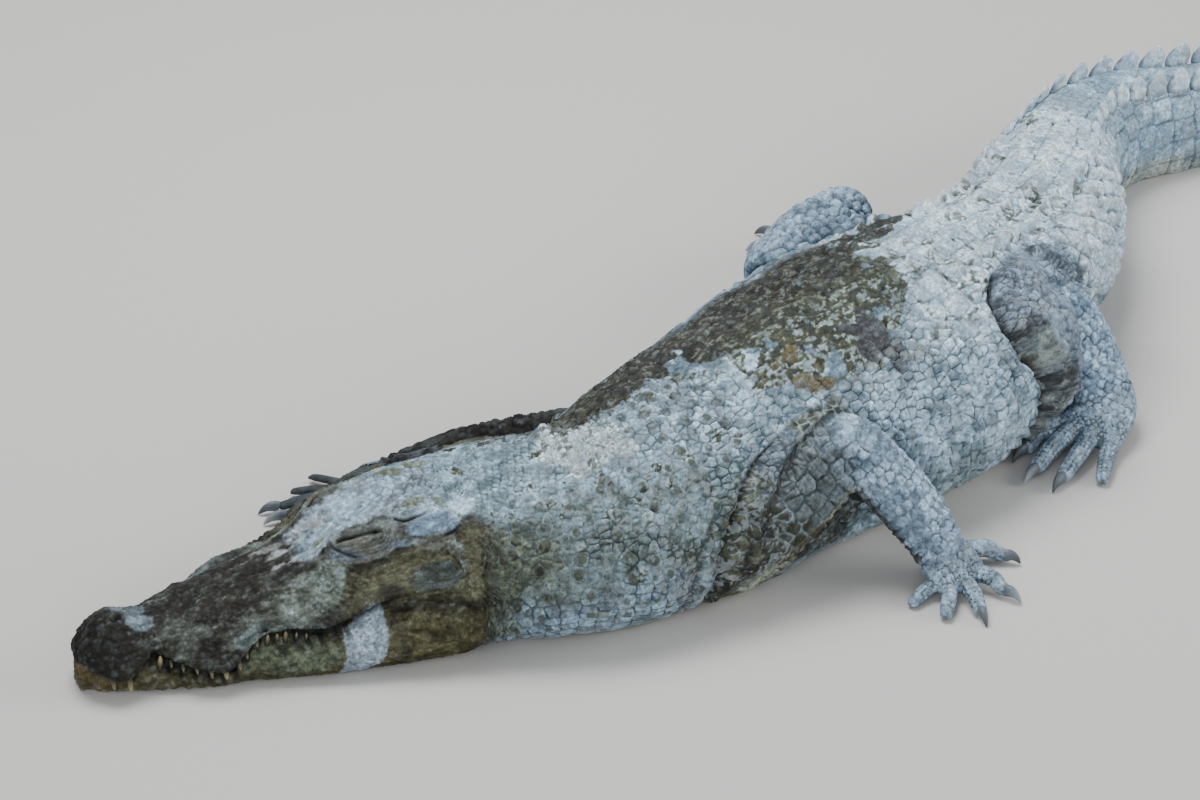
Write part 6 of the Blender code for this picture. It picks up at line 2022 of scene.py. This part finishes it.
for limb, foot in FEET.items():
    front = "fore" if limb.startswith("fore") else "hind"
    tag = limb.split("_")[1]
    shift = np.array([ORIGIN[0], ORIGIN[1], 0.0])
    for i, (a_, b_, c_, r, long) in enumerate(foot["digits"]):
        if not long:
            continue
        node = "claw_%s_%s_%d" % (front, tag, i + 1)
        b3, c3 = np.array(b_) - shift, np.array(c_) - shift
        t = c3 - b3
        t[2] = 0
        t /= np.linalg.norm(t)
        start = c3 + t * (r * .35)
        start[2] = c_[2] * .98
        reach = long + r * .50
        path = [start + t * reach * k for k in (0, .3, .6, .85, 1.0)]
        for k, (q, rise) in enumerate(zip(path, (0, .0022, .0010, -.0030, -.0062))):
            q[2] = max(start[2] + rise - start[2] * .30 * (k / 4) ** 2, .0016)
        rr_ = r * .70
        ob, _ = horn_piece(node + "_horn", path, (rr_, rr_ * .94, rr_ * .70, rr_ * .38, rr_ * .10), .78,
                           lin(96, 104, 112), lin(150, 158, 166) if i % 2 else lin(70, 74, 80), HORN_MAT)
        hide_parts(node)


def teeth():
    verts, faces, cols, base = [], [], [], 0

    def one(root, tip, radius, hook):
        nonlocal base
        root, tip = np.array(root), np.array(tip)
        steps, sides = 9, 12
        t = np.linspace(0, 1, steps)
        axis = tip - root
        out = np.cross(axis, (0, 0, 1.0))
        out = out / (np.linalg.norm(out) + 1e-9)
        bend = hook - axis * (hook @ axis) / (axis @ axis)
        rings = []
        for k in t:
            centre = root + axis * k + bend * (k * k - k) * -.5
            r = radius * math.sqrt(max(1 - k ** 1.7, .004))
            d = axis / np.linalg.norm(axis)
            side = np.cross(d, (.3, .2, .1))
            side /= np.linalg.norm(side)
            up = np.cross(side, d)
            a = np.arange(sides) * 2 * math.pi / sides
            rings.append(centre + np.outer(np.cos(a) * r, side) + np.outer(np.sin(a) * r, up))
        v, f = grid_tube(rings, None)
        v[:, 2] = np.maximum(v[:, 2], .0006)
        tone = np.repeat(t, sides)
        bright = 1.0 if radius > .0044 else .62
        c = mix(lin(44, 41, 27), lin(150, 140, 104), smooth(tone, .20, .85)) * (bright * (.66 + .5 * fbm(v, .003, 109, 2)))[:, None]
        verts.append(v)
        faces.append(f + base)
        cols.append(np.clip(c, 0, 1))
        base += len(v)

    for side in (1, -1):
        for u, root_up, drop, radius in UPPER_TEETH:
            y = (float(upper_out(u)) - .012) * HEAD
            zl = float(lip(u)) * HEAD
            one(place(u * HEAD, side * (y - .0005), zl + .010), place(u * HEAD + .001, side * (y + .0035), max(zl - drop * HEAD, .001)), radius * .92,
                np.array((0.0, 0.0, 0.0)))
        for u, root_down, rise, radius in LOWER_TEETH:
            if side < 0 and u > .4:
                continue
            y = (float(upper_out(u)) + .0035) * HEAD
            zl = float(lip(u)) * HEAD
            one(place(u * HEAD, side * (y - .003), zl - .014), place(u * HEAD, side * (y + .0015), zl + rise * HEAD), radius * .92, np.array((0.0, 0.0, 0.0)))
        # smaller teeth along the lip
        for u in (.215, .240, .395, .425, .475, .525, .550, .578, .604, .630):
            if u > .56 or (side < 0 and u > .38):
                continue
            small = .0024 + .0008 * (u < .5)
            up = u > .44
            y = (float(upper_out(u)) + (.001 if up else -.010)) * HEAD
            zl = float(lip(u)) * HEAD
            z0, z1 = (zl - .010, zl + .0025) if up else (zl + .006, zl - .0060)
            one(place(u * HEAD, side * (y - .001), z0), place(u * HEAD, side * (y + .002), z1), small, np.array((0.0, 0.0, 0.0)))
    return put_object("teeth", np.concatenate(verts), np.concatenate(faces), np.concatenate(cols), TOOTH_MAT)


teeth()

for side, node in ((1, "eye_left"), (-1, "eye_right")):
    c = place(EYE_AT[0] * HEAD, side * EYE_AT[1], EYE_AT[2])
    c = np.asarray(c, float)
    rings = []
    a = np.arange(32) * 2 * math.pi / 32
    x, y, h = spine(EYE_AT[0] * HEAD)
    out = np.array([math.sin(h) * side, -math.cos(h) * side, .55])
    out /= np.linalg.norm(out)
    e1 = np.cross(out, (0, 0, 1.0))
    e1 /= np.linalg.norm(e1)
    e2 = np.cross(e1, out)
    R = EYE_AT[3] * .97
    lat = np.linspace(.02, math.pi - .02, 24)
    for b in lat:
        rings.append(c + out * R * math.cos(b) + np.outer(np.cos(a) * R * math.sin(b), e1) + np.outer(np.sin(a) * R * math.sin(b), e2))
    v, f = grid_tube(rings, None)
    deg = np.degrees(np.repeat(lat, 32))
    iris = mix(lin(120, 104, 52), lin(176, 158, 92), fbm(v, .003, 113, 2))
    slit = np.abs(((v - c) @ e1)) < .0018 * (1 - np.clip(deg / 26, 0, 1)) + .0004
    colr = mix(iris, lin(206, 200, 180), smooth(deg, 30, 40))
    colr = np.where((slit & (deg < 26))[:, None], lin(10, 9, 8), colr)
    colr = mix(colr, lin(40, 34, 22), bump(deg, 31, 5))
    ob = put_object(node + "_ball", v, f, colr, EYE_MAT)
    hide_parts(node)

# ---------------------------------------------------------------- floor, light, camera
floor_mesh = mesh_from("floor", [(-9, -9, 0), (9, -9, 0), (9, 9, 0), (-9, 9, 0)], [(0, 1, 2, 3)])
floor = bpy.data.objects.new("floor", floor_mesh)
bpy.context.scene.collection.objects.link(floor)
fmat = bpy.data.materials.new("floor_pale")
fmat.use_nodes = True
fs = fmat.node_tree.nodes["Principled BSDF"]
fs.inputs["Base Color"].default_value = (.60, .585, .565, 1)
fs.inputs["Roughness"].default_value = .9
floor_mesh.materials.append(fmat)

world = bpy.data.worlds.new("studio")
bpy.context.scene.world = world
world.use_nodes = True
bg = world.node_tree.nodes["Background"]
bg.inputs["Color"].default_value = (.90, .95, 1.0, 1)
bg.inputs["Strength"].default_value = .42


def area(name, at, aim, size, power, colour):
    light = bpy.data.lights.new(name, "AREA")
    light.shape = "RECTANGLE"
    light.size, light.size_y = size
    light.energy = power
    light.color = colour
    ob = bpy.data.objects.new(name, light)
    ob.location = at
    ob.rotation_euler = (Vector(aim) - Vector(at)).to_track_quat("-Z", "Y").to_euler()
    bpy.context.scene.collection.objects.link(ob)


area("key", (-.9, 1.4, 4.6), (0, 0, 0), (2.6, 2.6), 235, (1.0, 1.0, 1.0))
area("fill", (-4.4, -3.6, 2.2), (0, 0, .1), (4.5, 2.6), 128, (.96, .98, 1.0))
area("side", (3.6, -3.2, 2.4), (.4, 0, .1), (3.8, 2.4), 158, (1.0, 1.0, .99))

cam_data = bpy.data.cameras.new("camera")
cam_data.sensor_width = 36
cam_data.lens = 120
cam_data.clip_end = 60
cam = bpy.data.objects.new("camera", cam_data)
cam.location = (-3.9336, -3.9837, 3.034)
cam.rotation_euler = (math.radians(60), 0, math.radians(-36))
bpy.context.scene.collection.objects.link(cam)
bpy.context.scene.camera = cam
